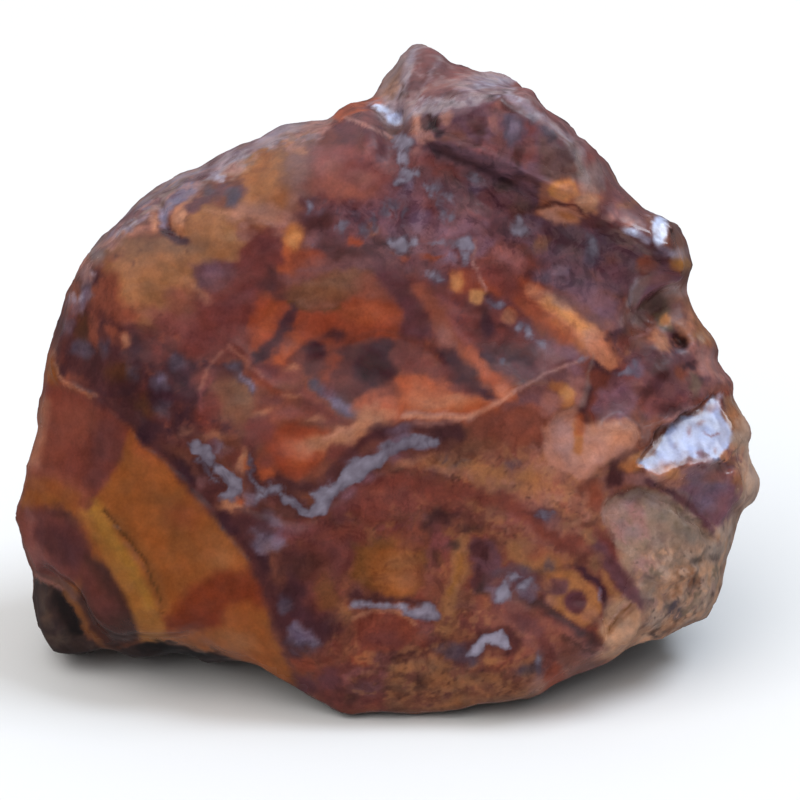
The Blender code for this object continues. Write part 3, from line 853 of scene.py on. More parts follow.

# From the greyed rim down to the dark plum ground beside the ochre lobe. The grey band along the rim is
# partly the rim's own grey and partly painted sheen; the pearl and pale grey bands and spots on the rim are
# painted sheen and highlights, and the pink tan band below the rim, with the thin light salmon line in it, is
# partly painted sheen along a crease.
UPPER_LEFT = """
band greyed mauve: 22/28 12 0.8: 96,252 120,222 150,200 180,182 215,164 250,148 284,132 322,122
band plum: 6 6 1.3 0.7: 104,238 130,214 158,198
band plum: 6/9 7 1.3 0.75: 188,184 214,170 226,152 256,146
band pearl: 4 4 1 0.55: 116,233 134,222 150,216
band pearl: 11/7 7 1 0.6: 214,178 224,165 240,157
band slate mauve: 10 8 0.8 0.9: 262,142 272,133 288,129
band light stone: 4 4 1.2 0.6: 146,190 166,181 206,170
spots pearl: 5 0.8 0.8: 221,178,5,5 82,298,4,5
band salmon: 6 6 0.8 0.7: 112,240 134,231 152,226
spots bright coral: 5 0.8 0.8: 155,223,4,8 300,149,8,4 289,143,5,3
patch bright ochre: 14: 240,208 246,165 260,146 284,150 280,186 262,206
spots caramel: 12 1 0.5: 256,184,7,16 268,166,6,12
spots mauve brown: 20 1 0.55: 302,172,22,28
spots mauve brown: 12 1 0.7: 312,134,18,9
spots coral: 8 1 0.6: 300,132,16,6 284,144,8,3
patch oxblood: 10: 318,128 350,116 372,120 366,150 330,156 318,142
spots dusty rose: 16: 352,182,40,20 340,158,20,18
spots pink mauve: 16 1 0.7: 342,188,34,11,6 334,170,14,12
spots flame: 16 1 0.4: 346,186,30,10,6
spots wine: 12: 372,130,14,9,20 346,132,12,12,-10 386,150,10,8,30 400,166,6,24,-16
spots dusty rose: 12 1 0.8: 364,174,16,12
spots rose: 12 1 0.9: 362,176,16,11
spots salmon: 12 1 0.35: 364,178,12,7
patch ochre: 12: 182,262 182,220 206,206 246,212 242,254 206,264
spots bright ochre: 14 1 0.9: 200,218,12,12 228,238,18,16
spots pale amber: 14 1 0.5: 226,238,14,9
band pink tan: 20 14 1 0.6: 236,214 266,212 290,218
band light salmon: 2.5 4 0.4 0.4: 204,211 240,214 268,218 302,228
band olive brown: 18 11 1 0.9: 110,247 150,243 198,246
band ochre: 15 10: 110,268 160,264 236,252
spots bright ochre: 18 1 0.7: 154,284,30,12
spots ochre: 16 1 0.6: 148,306,12,18,10
spots warm brick: 14 1 0.9: 106,294,14,22 182,298,14,9 124,312,18,12
spots dark umber: 4 1 0.6: 118,256,3,2 189,252,2,2 130,262,3,2
band coral: 10/8: 178,230 179,214 188,203 206,195
band bright coral: 4 4 0.8 0.8: 179,228 181,216 190,205
band plum: 12 7: 190,209 204,199 222,190 238,191
spots slate: 7: 231,197,8,8 206,190,6,3
band slate mauve: 17/6 7 0.8: 188,190 176,198 167,209 165,224 168,232
band steel: 5 5 0.7 0.8: 178,198 168,209 166,220
band ink: 8 5 0.6: 165,232 175,238 184,241
patch plum: 12: 192,266 230,260 246,272 222,292 196,288
spots mauve: 9 1 0.7: 214,272,10,7 222,288,8,5,-30
band coral: 7 7 1 0.6: 186,282 198,290 212,300
patch burgundy: 20 1.3: 244,250 252,234 264,228 276,232 285,246 286,264 264,292 238,326 202,322 220,288
    238,268
spots wine: 12 1 0.35: 264,244,12,10 240,300,16,10,-40
spots pink mauve: 9 1 0.8: 245,232,8,8 284,230,8,7
band pink tan: 3.5 4 0.6 0.5: 243,226 262,221 286,226
spots dusty rose: 12 1 0.7: 166,318,20,9,20 190,326,14,10
spots burgundy: 14: 206,340,24,14 150,350,16,12 170,372,12,10 235,330,10,14
patch dark plum: 16: 60,318 120,322 150,340 140,392 110,396 66,374
spots umber: 12 1 0.6: 84,326,8,16 150,404,16,12 120,372,14,8
spots warm brick: 8: 96,330,6,14 112,334,6,8 124,341,7,9 74,384,14,6
spots coral: 5 0.8 0.8: 125,341,4,6
spots ink: 10: 182,372,20,14,20 160,392,14,18 134,346,5,14 150,430,14,10 92,276,6,8
spots slate: 9 1 0.8: 82,349,11,9 104,348,5,8 178,363,9,8 158,384,9,10 164,410,9,8 131,372,4,8
    140,422,8,4,20 86,284,6,12
spots slate mauve: 6 1 0.7: 161,380,4,4 86,302,5,12,8
spots pearl: 4 0.8 0.6: 73,299,3,5 92,272,2,3
clots_in: 8: 92,256 120,212 150,186 215,156 284,122 330,112 322,136 284,146 222,172 190,192 156,216 120,238
clots steel: 2.4 0.12 0.6
clots plum: -2.4 0.16 0.4
clots pink tan: 1.3 0.28 0.5
spots light stone: 9 1.3 0.8: 234,158,18,8,-26 268,140,16,6,-24 292,129,16,6,-10
spots tan: 8 1 0.7: 234,170,12,6,-20
spots slate mauve: 7 0.8 0.5: 74,305,7,9,-20 67,324,5,9
spots pink tan: 8 1.3 0.8: 232,168,10,5,-20 110,244,12,6,-30 86,272,6,10 318,127,12,6
"""

# The plum ground full of small clots, under the block at the top. The broad rose brown and greyed mauve bands
# just under the ledge, near the start, are painted light that lifts the ledge's shade.
UPPER_MIDDLE = """
patch mauve: 20 1 0.7: 380,196 430,176 500,200 520,240 500,262 440,266 390,250
band rose brown: 28 22 1 0.8: 404,164 440,174 480,194 530,216
band greyed mauve: 26 22 1 0.6: 530,216 570,240 610,266 656,270
patch violet brown: 16: 500,200 560,216 640,246 690,266 640,292 590,292 540,276 510,240
spots dark plum: 12: 320,222,22,10 350,256,26,8 376,238,10,8 330,244,10,8
spots wine: 12: 345,236,20,8 400,262,24,6 480,196,22,10 500,226,14,14
spots mauve: 14: 440,222,26,16 398,226,22,16 410,204,18,10 470,222,14,10
spots dusty rose: 9: 452,166,16,9,-30 432,158,8,6 430,210,7,5 356,240,8,5
spots rose brown: 10 1 0.8: 480,158,18,6,24 520,200,22,12 466,206,12,8
spots rust: 5: 352,244,8,4 404,258,5,3 434,256,9,4 406,164,6,4 392,250,4,3
spots slate: 12 1 0.6: 548,172,14,9 560,234,30,7 606,238,14,9 520,176,10,6
spots dark plum: 12 1 0.5: 536,224,12,4 540,264,16,6
spots wine: 12 1 0.6: 536,206,10,10 570,286,18,8,30
patch oxblood: 12: 478,262 500,240 530,250 540,266 524,282 500,290 482,282
spots rose: 9: 504,254,13,9 516,264,8,8
spots dusty rose: 9: 486,276,10,10 510,282,16,7 600,272,14,8 612,262,6,9
spots coral: 7 1 0.6: 542,240,7,7,-30
spots olive brown: 7 1 0.7: 540,246,7,8
spots slate mauve: 6 1 0.6: 452,258,5,5 560,268,9,5
band slate: 10 10 1 0.7: 546,276 580,286 608,306
patch mauve: 14: 556,280 596,286 628,310 622,336 600,320 580,300
band oxblood: 22/40 12: 510,286 536,302 566,328 590,356 604,370
band rust: 18/30 10: 522,284 546,302 574,330 600,362
band orange: 12/22 10 0.6: 530,288 548,302 570,318 590,338 606,360
band bright orange: 12/14 12 0.6 0.8: 550,302 566,312 584,328 590,336
spots bright amber: 9 0.8 0.7: 562,306,12,5,36
spots salmon: 9 1 0.7: 590,342,9,12,-20
spots amber: 8 1 0.7: 558,326,14,5,40 577,344,10,5,44
band ink: 8: 590,366 604,374 618,372
spots rust: 10 1 0.8: 486,290,16,14 462,282,10,12
spots amber: 7 0.7: 457,282,6,10 478,297,10,9 370,231,6,5 293,240,10,15,8
spots bright amber: 7 0.7 0.8: 457,280,4,6 478,297,7,6 294,240,6,9,8
spots light rust: 8 0.9 0.9: 288,256,6,9 284,270,8,5 507,312,8,6
spots rust: 9 0.9 0.7: 308,260,18,9
spots burgundy: 9 0.9 0.8: 499,322,12,10
patch dark plum: 14: 462,306 492,304 510,326 548,350 560,362 520,380 490,372 478,340
spots burgundy: 9 1 0.8: 474,322,10,14,-20 520,342,9,7 500,336,12,8
spots ink: 9: 520,362,16,7,10 488,326,7,12,-20 486,356,8,8 488,298,9,5
spots wine: 8 1 0.8: 540,370,24,7,-20 506,318,7,5
band dusty rose: 14/10 9: 438,300 452,324 466,344 472,352
patch rose brown: 12 1 0.8: 540,350 584,352 592,372 584,400 560,384 540,376
spots mauve: 9 1 0.8: 566,350,14,8,30 576,368,9,8
spots rose brown: 12: 520,400,24,8,-30 540,396,12,10 524,420,26,12
band violet brown: 20/30 20 1 0.5: 440,176 480,192 530,216 570,238
band greyed mauve: 24/34 20 1 0.3: 560,234 600,262 650,272
spots burgundy: 10 1 0.8: 446,172,14,9,40
spots olive: 10 1 0.5: 507,199,10,7,30
spots slate: 8 1 0.6: 517,188,8,7
spots wine: 10 1 0.6: 480,214,14,8 330,390,9,8
spots mauve: 9 1 0.6: 607,270,12,8 616,380,10,7
spots olive: 12 1 0.7: 486,444,20,8 470,446,18,6
patch warm brick: 12 1 0.9: 464,420 500,404 540,408 558,424 552,446 512,444 480,438
"""

# The olive lens, the orange bowl and what lies round them. The thin light salmon line on the coral ridge
# beside the bowl and the thin pink tan lines along the crest under the orange band are painted highlights on
# those ridges.
CENTRE_LEFT = """
patch olive brown: 16 1 0.9: 216,380 238,374 250,392 258,418 240,424 216,412
spots olive: 12 1 0.7: 222,396,10,20 244,412,12,8
band dusty rose: 5 6 1 0.8: 204,412 204,388 216,372 232,368
band rose: 9 8 1 0.7: 230,342 250,356 264,376 284,396
spots ink: 8: 234,368,9,7 258,352,8,12,-30
band slate: 9 7: 232,366 242,378 252,388
band slate mauve: 6 5 1 0.8: 240,376 250,386
patch rose brown: 10 1 0.8: 276,276 310,262 362,258 400,262 388,280 330,290 284,288
patch olive: 10: 284,288 320,274 356,268 372,274 364,290 336,306 308,310 288,302
spots olive brown: 12 1 0.6: 322,290,28,9,-8 342,278,14,5,-10
spots warm brick: 12 1 0.7: 368,282,14,8,-20 300,268,14,6
band rose brown: 4 5 1 0.8: 300,270 340,266 370,264
band umber: 5 6 1 0.7: 290,302 312,312 340,308
spots dark plum: 9: 268,286,12,8 274,272,8,8 280,296,8,5
patch wine: 12: 372,264 400,270 424,290 440,330 416,348 396,322 402,306 382,288
spots dark plum: 12 1 0.7: 404,290,16,10,20 424,316,10,16,-20
patch burgundy: 10: 214,340 250,300 262,300 246,346 232,356
patch rust: 9: 246,334 262,300 288,300 276,326 262,346 246,352
spots light rust: 12 1 0.8: 268,320,7,20,24
spots oxblood: 9 1 0.8: 242,344,9,12,20
patch rust: 14: 292,312 330,314 392,300 402,314 390,334 340,342 292,348
spots light rust: 14 1 0.75: 368,314,26,11
spots flame: 10 1 0.5: 374,311,18,7
band ink: 9/12 7 1 0.9: 294,310 284,330 272,346 258,364
band light rust: 14/8 8: 294,340 284,352 270,366
band flame: 6 6 1 0.6: 292,342 282,354
spots dark plum: 10: 314,356,15,15,10 336,338,12,6
spots oxblood: 10: 318,378,16,10 296,360,10,8
spots ink: 8: 316,353,8,7
patch dark plum: 14: 334,350 372,338 396,342 398,366 386,388 358,402 334,398 330,376
spots ink: 12: 372,364,18,14 362,384,14,10 384,346,12,8
spots black plum: 9 1 0.7: 370,368,12,8 394,372,5,4
spots oxblood: 10: 412,346,14,12 334,376,12,12 400,352,7,6
spots rust: 8 1 0.8: 326,372,5,16,8 334,362,7,6
band warm brick: 14/18 12: 420,288 436,312 450,340 458,352
spots pink mauve: 10 1 0.7: 446,338,7,12,-20
patch dark plum: 12: 440,352 462,360 476,376 490,388 500,401 482,399 464,392 444,376
spots ink: 9 1 0.9: 450,360,9,12,-20 466,382,14,7,34 486,394,8,4,30
spots burgundy: 9 1 0.8: 420,362,18,8 404,358,10,8
patch warm brick: 12: 256,366 290,362 314,380 318,402 300,418 272,424 254,408
spots dusty rose: 9 1 0.7: 284,378,16,6,-10 302,392,12,6,30 290,410,18,5,-10
spots burgundy: 10: 268,370,12,8 260,426,14,9
spots dark plum: 10 1 0.8: 318,368,12,10 342,374,9,12
spots brick: 9 1 0.8: 286,386,12,5 262,396,7,8 300,404,14,4
spots oxblood: 8: 270,400,9,5 318,408,16,6,20 332,418,14,6,10
spots coral: 6 1 0.7: 292,396,9,3 316,416,8,3 292,368,5,3 262,412,6,4 210,436,14,4 186,430,8,4,-20
band slate: 9/14 8: 314,384 328,396 344,406 352,409
band slate mauve: 6/9 7 0.8 0.8: 322,391 334,401 348,407
band ink: 9 8 1 0.6: 264,462 280,480 300,487 322,483 334,470
patch rust: 11 0.8: 258,430 290,422 330,430 326,454 314,470 298,480 282,474 266,456
patch light rust: 18 0.8 0.8: 282,438 326,432 322,455 306,472 290,464
spots coral: 15 1 0.7: 312,447,13,9,-20
band coral: 12/22 10: 314,447 336,439 358,431 374,414
band light salmon: 5 7 1 0.6: 322,441 340,431 352,424
spots burgundy: 10 1 0.8: 260,430,12,14 238,458,10,8 216,405,8,12
spots dark plum: 10 1 0.7: 226,374,12,8
spots flame: 12: 366,402,14,10,-20 386,404,18,10
spots coral: 8 1 0.6: 366,408,12,6,-30 384,412,16,4
spots oxblood: 8: 340,452,14,8,-30 262,470,9,6,40 250,444,8,10
patch light rust: 12: 388,392 402,376 424,374 440,384 456,392 480,401 500,405 474,412 440,416 400,410
patch orange: 16 1 0.5: 402,396 420,382 436,388 456,396 474,402 460,408 430,410 408,404
spots coral: 10 1 0.5: 452,402,30,7
patch light rust: 11 1 0.85: 462,350 474,346 490,368 514,388 516,400 500,398 484,380 470,366
spots flame: 9: 478,364,7,14,-26 504,390,10,7,30
spots burgundy: 9 0.8 0.8: 440,372,14,6 461,388,12,6,20
band pink tan: 6 6 1 0.8: 404,410 440,416 470,418
band dark plum: 10/15 12: 330,486 352,452 376,434 400,426 440,430 458,434
spots ink: 10 1 0.7: 386,433,18,8,-10 444,436,16,5
spots slate mauve: 8 1 0.6: 402,428,14,6,-20
band pink tan: 4 6 0.7 0.6: 418,422 440,425 460,422
spots deep wine: 12 0.8 0.9: 372,360,15,12 388,370,9,8 316,353,7,7
spots oxblood: 10 0.8 0.7: 354,386,12,8 391,387,8,7 288,341,9,6
spots wine: 9 0.8 0.7: 329,391,9,7 516,370,12,6
spots orange: 8 0.8 0.6: 503,391,8,6,30
"""

# The peak, and the rough block that stands proud below it. The pale grey, pearl and pinkish bands on the peak
# and on the roof behind the block are partly painted sheen on those up-facing surfaces, and the pale bands
# along the block's upper edges are painted sheen. The blue-white and pale grey spots on the small facet under
# the peak and on the shoulder at the right are painted glints. The violet brown patch and the ink and dark
# plum bands along the block's lower edge are painted shadow under the ledge.
TOP_BLOCK = """
patch rose brown: 10: 410,52 440,50 470,66 484,80 450,98 420,102 400,98
patch ochre: 8 1 0.45: 378,98 390,78 400,70 404,84 396,98
spots rose: 8 1 0.6: 456,72,14,7,20 430,54,6,5
band light stone: 6/9 6 0.6: 416,47 408,66 400,98
band light stone: 4 5 0.8 0.6: 440,58 430,76 416,98
band pink tan: 10/8 9 0.9 0.5: 424,92 452,84 484,74 512,78
band pearl: 8/10 8 0.9 0.8: 466,90 490,84 512,84
band rose brown: 6 7 1.1 0.6: 444,96 470,90 500,88
band light stone: 8 6 1 0.9: 424,104 446,100 470,100
band pearl: 4 5 1 0.5: 476,88 492,82 506,82
spots dark umber: 4 0.8 0.8: 404,95,5,3 402,88,2,4
patch rose brown: 8: 352,104 400,102 414,112 412,140 392,140 350,118
band flame: 10/5 7: 340,116 354,106 380,102
band plum: 8 8 0.8: 352,122 380,132 400,142
spots mauve brown: 9: 396,130,16,8 388,116,12,8
patch rose brown: 8: 506,88 526,84 548,104 580,130 604,160 636,196 660,214 640,222 600,196 575,150 545,122
    520,100
spots dusty rose: 8 1 0.8: 524,88,10,5,30 552,112,12,5,40 596,156,6,14,-40
patch violet brown: 9: 420,114 450,108 500,94 540,124 572,146 590,180 546,200 500,182 440,156
patch mauve brown: 10: 540,136 574,148 584,178 556,190 540,170
spots rose brown: 7: 500,110,12,9 500,138,8,12,-20 462,138,8,8 530,150,8,12
spots dusty rose: 8 1 0.7: 486,148,14,7,20 531,128,7,8,20 530,154,6,8
spots pink mauve: 6 0.9 0.8: 490,122,6,7 498,106,4,4 416,150,6,4
spots rose brown: 7 1 0.8: 452,134,10,9 464,140,8,5 472,124,5,7 506,150,6,5
spots olive: 6 0.8 0.5: 458,136,8,4 444,140,7,3
spots dark plum: 6: 478,126,5,9 512,106,14,5,20 476,142,5,4 520,156,5,9
spots black plum: 5 0.9 0.85: 434,122,5,9 438,134,5,4 551,136,8,4,20 450,104,6,2
spots slate: 7: 514,130,11,15,12 508,120,6,5 534,116,7,8,-20 546,132,8,4,20
spots slate mauve: 7 0.8 0.8: 515,128,6,10,12
band salmon: 9 6 0.5 0.9: 416,116 417,134
spots dark plum: 6 0.7 0.8: 431,124,10,9
spots black plum: 5 0.6 0.8: 433,126,4,6
spots salmon: 6 0.7 0.7: 447,118,7,7 427,140,7,3
spots coral: 5 0.6 0.7: 427,140,6,3
band light stone: 8/6 6 1 0.8: 412,112 440,110 470,102 494,92
band light stone: 10/5 6 0.6 0.9: 506,92 528,108 552,126 572,140
band pearl: 6 5 0.6 0.7: 508,94 520,102 530,110
spots black plum: 4 1 0.6: 494,96,8,3 504,92,3,4
spots pearl: 3 0.5 0.8: 497,97,2,2
band greyed mauve: 8/12 7: 572,144 582,166 590,190
band rose brown: 14 9: 600,168 612,190 636,204
patch violet brown: 14 0.7 0.8: 424,142 450,146 486,162 512,176 546,194 536,204 500,190 460,168 430,154
band dark plum: 12/10 9 0.7 0.8: 545,202 580,218 604,228 640,240 670,256 690,264
band ink: 8/8 8 0.5 0.75: 424,144 445,152 466,161 490,172 510,182
band dark plum: 7/7 8 0.7 0.6: 508,180 524,176 540,186 552,200
spots pink mauve: 7 0.7 0.7: 424,137,8,6
spots rose brown: 10 0.9 0.8: 504,200,18,8,24 528,213,12,7
spots slate mauve: 8 0.9 0.6: 408,183,9,8 477,187,8,4
spots light stone: 8 0.7 0.4: 582,154,6,9,-30 626,234,10,5,16
spots greyed mauve: 6 0.6 0.6: 666,250,8,5,30
spots light stone: 5 0.5 0.7: 679,252,8,5
patch orange: 8 0.6 0.7: 540,184 562,176 600,186 608,206 590,222 560,226 536,214
patch light salmon: 6 0.4: 538,210 552,203 574,209 586,219 562,224 542,218
spots amber: 7 0.6 0.7: 566,216,10,4,20
patch bright orange: 6 0.4: 547,188 556,180 574,181 580,193 566,200 551,196
spots light salmon: 8 0.4 0.6: 566,189,9,5,10
spots pale amber: 8 0.6: 588,203,13,10,20
spots light salmon: 7 0.6 0.5: 586,202,8,6
spots coral: 7 0.6 0.7: 592,208,9,6
band oxblood: 2 4 0.5 0.45: 552,202 574,205 590,219
patch rose brown: 8: 604,200 640,206 652,226 640,240 612,224
band ochre: 6 6 0.8 0.5: 620,206 640,202 652,212
spots pink tan: 6 1 0.8: 610,218,8,6 630,222,9,4
spots ice: 4 0.4: 632,232,10,4,16 660,230,8,16,4
spots pearl: 4 0.5 0.8: 678,254,7,4 644,238,8,4,40 651,212,3,3
spots light stone: 8 0.8 0.9: 393,113,18,11,10
spots ice: 4 0.6: 381,108,10,4,14 395,118,8,5,12
patch mauve brown: 7 0.6 0.9: 666,216 680,226 684,240 690,250 690,262 676,252 669,232
spots olive: 6 0.6 0.7: 681,242,6,7
spots greyed mauve: 8 1 0.8: 624,240,16,6,18 646,250,14,5,22 598,172,8,12,-20
clots_in: 8: 396,104 420,40 470,60 520,80 560,112 590,150 560,140 500,96 440,110
clots light stone: 2.4 0.1 0.4
clots rose brown: -2.4 0.14 0.4
band light stone: 8/11 10 0.9 0.7: 456,86 480,76 506,78
spots ochre: 6 0.6 0.9: 680,264,11,7,20
spots gold: 6 0.5 0.7: 683,264,8,5
"""

# The flap, the rough end beyond it, the shelf and the pale facets. The dark ink band along the flap's lower
# edge is painted shadow, and the dark khaki patch under the flap is partly painted shade. The pale spots in
# the hollow below the flap's left end are painted glints, and the black brown spot in the pit beside it is
# painted shade. The salmon, coral and pale pink marks on the facet left of the shelf are partly its pink
# colour and partly painted sheen. The pink tan band along the low wall above the shelf is painted light that
# lifts its shade. The pale blue patch on the shelf is painted reflection of the sky, over the real glint of
# the flat shelf, and the pearl fleck at its lower edge is a painted glint. The two broad pale amber spots at
# the foot are painted light that lifts the shade near the floor.
RIGHT_SIDE = """
spots flame: 8 0.7 0.8: 646,264,9,9,20
spots ink: 8 0.7 0.6: 660,258,7,5,30
spots pink mauve: 8 0.7 0.5: 648,270,9,6
patch mauve: 5 0.5: 626,306 632,283 640,275 654,271 680,273 686,279 676,286 659,291 647,299 633,312
patch greyed mauve: 6 0.5 0.8: 627,306 632,284 641,276 656,273 650,284 640,296 632,309
spots pink mauve: 7 0.5 0.6: 656,280,13,6,-14
band light stone: 5/4 5 0.5 0.7: 627,304 631,290 638,280
band ink: 5 6 0.5 0.9: 634,312 647,301 660,293 678,287
patch dark khaki: 8: 636,308 666,290 680,292 676,304 660,320 650,322
patch rose brown: 10 1 0.6: 640,308 664,293 668,300 652,314 642,316
spots pink mauve: 9 1 0.8: 626,316,13,10 638,318,10,7 610,326,8,5
spots pink tan: 7 0.7 0.9: 675,294,12,7,-14
spots light stone: 8 1 0.7: 634,318,13,7,-16
spots ink: 7 1 0.6: 618,334,12,5,-30
spots pink tan: 8 0.8 0.6: 634,322,9,7
spots ice: 3 0.4: 636,320,4,6,20
patch brick: 9: 630,318 650,320 660,336 650,350 626,352 618,342
band pink mauve: 4 4: 622,348 634,336 648,330
spots oxblood: 7: 626,342,8,7 644,350,9,6 640,322,5,8
patch dark khaki: 8: 652,318 668,296 676,300 672,330 660,330
patch ochre: 9: 672,292 688,296 706,326 716,350 700,344 684,338 672,320
patch rose brown: 10 1 0.8: 670,300 684,298 696,326 686,336 674,320
spots coral: 7 1 0.7: 690,318,5,12,-24
spots bright amber: 5 0.6: 665,320,6,6
spots tan: 6 1 0.7: 702,336,5,5 676,290,6,3
spots black brown: 6: 681,342,9,5,40
spots coral: 7 0.8 0.7: 684,326,8,8,-30
spots slate: 6: 682,352,9,5 690,346,5,3
spots coral: 7: 662,344,9,7 655,336,6,5
patch pink mauve: 9: 690,338 712,348 722,368 730,384 700,376 688,360
spots pink tan: 9 1 0.6: 706,362,9,12,-30 718,376,8,5,30
patch dusty rose: 16 1 0.6: 616,384 640,350 690,356 700,402 660,416 630,408
patch plum: 14: 646,350 690,356 694,392 664,400 646,380
spots dark plum: 9: 660,372,9,12 646,392,9,7 668,410,14,6
spots rose brown: 9: 684,384,9,10 630,388,10,9 668,392,8,8
spots warm brick: 8: 722,392,12,6 706,402,12,5 682,372,6,8
spots dark khaki: 6 1 0.7: 694,384,5,12,-10
spots pearl: 4 0.7 0.8: 720,397,4,3 716,404,3,6
spots ink: 5: 724,402,3,6 690,366,6,5
patch khaki: 6 1 0.9: 722,398 736,396 746,428 744,470 750,500 738,500 732,450 736,436 728,422
spots ochre: 6 1 0.8: 730,410,5,14,-12 738,474,5,12,-14 734,488,4,8
patch tan: 8: 740,410 760,410 770,520 744,512 748,480 744,440
spots pale amber: 6 1.4 0.8: 740,468,8,10 732,436,5,5 736,446,4,8
patch red brown: 7: 588,368 612,374 606,398 594,424 584,414 586,386
patch mauve: 12: 598,392 624,382 640,398 632,418 604,420 592,408
spots wine: 10 1 0.6: 620,402,14,10 604,408,12,8
band dark plum: 8/10 6 0.6: 588,390 584,404 582,422
spots bright amber: 7 0.6 0.9: 567,394,9,9
spots amber: 7 0.8 0.7: 568,402,8,5 556,386,7,5
spots pink mauve: 9: 550,402,10,12 574,382,9,6 578,398,4,14
patch salmon: 7 0.6: 541,428 558,412 574,406 580,422 598,428 614,418 628,418 638,432 634,446 612,458 598,468
    586,486 572,474 548,464 543,446
spots coral: 10 0.8 0.8: 620,432,16,11 600,430,12,7
spots pink tan: 12 0.8 0.6: 566,440,14,14 590,460,18,8 560,426,8,10
spots light salmon: 12 0.8 0.5: 608,446,16,7,-20 612,432,22,10,6 586,456,14,9
band amber: 9 5 0.4: 578,424 578,450
band light rust: 9 6 0.4 0.7: 580,418 580,430
patch dark plum: 7 0.7: 606,478 612,462 626,454 640,450 634,466 622,484 608,488
spots amber: 6 0.6: 632,464,12,8,-20
spots bright amber: 5 0.6 0.7: 640,456,10,4,-10 668,473,9,5
spots pink mauve: 7: 640,479,18,7,10 656,484,8,4,20
spots warm brick: 8: 596,500,7,12 590,486,12,7
band pink tan: 4 4 0.6 0.7: 643,456 653,443 664,425 680,413 698,407
patch pale blue: 3 0.5: 638,461 648,457 654,454 661,442 668,427 682,416 698,414 705,410 708,399 713,395
    721,411 729,426 737,438 730,446 722,459 712,463 698,461 690,458 680,461 666,465 658,467 648,472
spots mauve: 3 0.4 0.8: 690,432,2,5 702,423,4,2,-30 700,454,4,4 716,450,2,3
band mauve: 2 2 0.4 0.8: 705,432 711,437 719,433
spots steel: 3 0.4 0.6: 676,444,3,4 686,452,3,2
spots plum: 4 1.2 0.9: 702,457,4,4 690,464,7,3 676,467,6,3
band salmon: 9: 648,474 668,474 690,468
spots salmon: 8 0.8 0.9: 672,482,14,7
spots bright amber: 6 0.7 0.8: 674,474,9,5
band rose brown: 9 6 1.4: 700,466 724,462 740,452
spots coral: 5 1.4: 728,458,6,6 738,448,4,6 700,474,10,4
patch mauve: 8: 664,480 690,468 722,464 738,470 740,500 722,530 700,516
spots pink mauve: 10 1 0.8: 708,474,26,9
spots slate mauve: 12 1 0.6: 708,480,22,12,20 702,504,14,10
band plum: 8/7 6 0.7: 646,480 668,490 690,508 716,532
band greyed mauve: 4 5 0.8 0.6: 650,474 676,490 690,498
patch khaki: 6 0.6: 602,512 609,500 640,487 660,494 690,520 712,540 706,556 660,560 640,556 616,544
patch pink tan: 9 0.8: 603,512 610,500 640,498 644,520 650,536 630,544 614,540
spots greyed mauve: 9 1 0.7: 648,500,22,7,10 620,516,8,10 632,532,10,7
spots grey brown: 10: 684,528,20,9,36 664,514,12,7
patch khaki: 12: 616,544 660,552 700,548 738,512 734,540 724,586 706,614 664,632 640,616 652,600 626,570
spots pink tan: 10 1 0.7: 646,568,12,14,-20 656,596,8,12
patch tan: 12 1 0.7: 712,530 734,520 728,560 718,600 700,616 704,580 710,560
spots ochre: 6 1.5: 684,568,9,6 678,586,8,10 690,580,8,6 672,596,5,6
spots pale amber: 4 1.6: 680,562,6,3 674,578,4,7 692,592,4,4 664,556,6,4
spots ochre: 7 1.4 0.8: 672,622,14,8,-20 652,632,10,5
spots dark khaki: 6 1.5: 714,572,6,14 656,576,6,5 700,600,10,8 690,612,8,5
spots black brown: 4 1.2: 696,560,7,3,10 712,552,5,3 700,578,3,3
spots dark slate: 5: 674,610,9,8
patch pale amber: 7 0.5: 600,632 605,610 624,596 643,612 640,636 626,650 608,646
patch pink tan: 6 0.6 0.6: 608,626 624,602 634,606 618,622
band ochre: 4 4 0.4 0.7: 608,634 620,620 634,606
band dark caramel: 2.5 3 0.4: 608,630 620,614 630,604
spots pale amber: 9: 624,650,24,9,-20 650,638,14,7,-20
clots_in: 12: 640,552 700,548 738,512 742,560 724,590 706,622 664,642 640,642 652,600 634,570
clots tan: 1.3 0.12 0.6
clots dark khaki: -1.3 0.32 0.4
clots pale amber: 2.4 0.08 0.6
clots black brown: 0.8 0.5 0.7
clots pale amber: -0.8 0.3 0.7
patch pale amber: 24 1 0.15: 648,560 700,552 724,560 716,606 664,640 626,652 640,620 656,600
spots grey brown: 12 1.2 0.6: 690,562,16,9 714,548,12,10 650,590,9,12
spots tan: 10 0.7 0.6: 613,510,10,9
spots pale amber: 8 0.7 0.5: 612,606,8,10,30
spots black brown: 4 0.7 0.7: 653,633,4,4
spots salmon: 10 0.6 0.5: 618,453,16,8
spots pink mauve: 8 0.8 0.6: 710,388,10,7 671,421,9,5
spots salmon: 8 0.7 0.9: 672,482,13,7
spots bright amber: 5 0.6 0.6: 676,476,8,3
spots pink mauve: 8 0.7 0.8: 636,322,11,8 714,476,14,7
spots light stone: 3 0.4 0.9: 635,320,5,3,-50
spots pink tan: 7 0.6 0.8: 675,293,11,6,-14
spots tan: 7 0.7 0.5: 738,446,5,9 613,508,9,8 702,604,9,7
spots pearl: 4 0.5 0.6: 714,461,8,3
spots rose brown: 7 0.6 0.7: 606,417,9,5
spots mauve: 9 0.8 0.7: 612,273,12,9 592,263,10,9
spots pale amber: 9 1 0.5: 672,588,9,9
clots_in: 8: 606,512 640,488 700,520 706,556 640,556 616,544
clots grey brown: 2.4 0.15 0.4
clots dark khaki: 0.8 0.4 0.5
"""
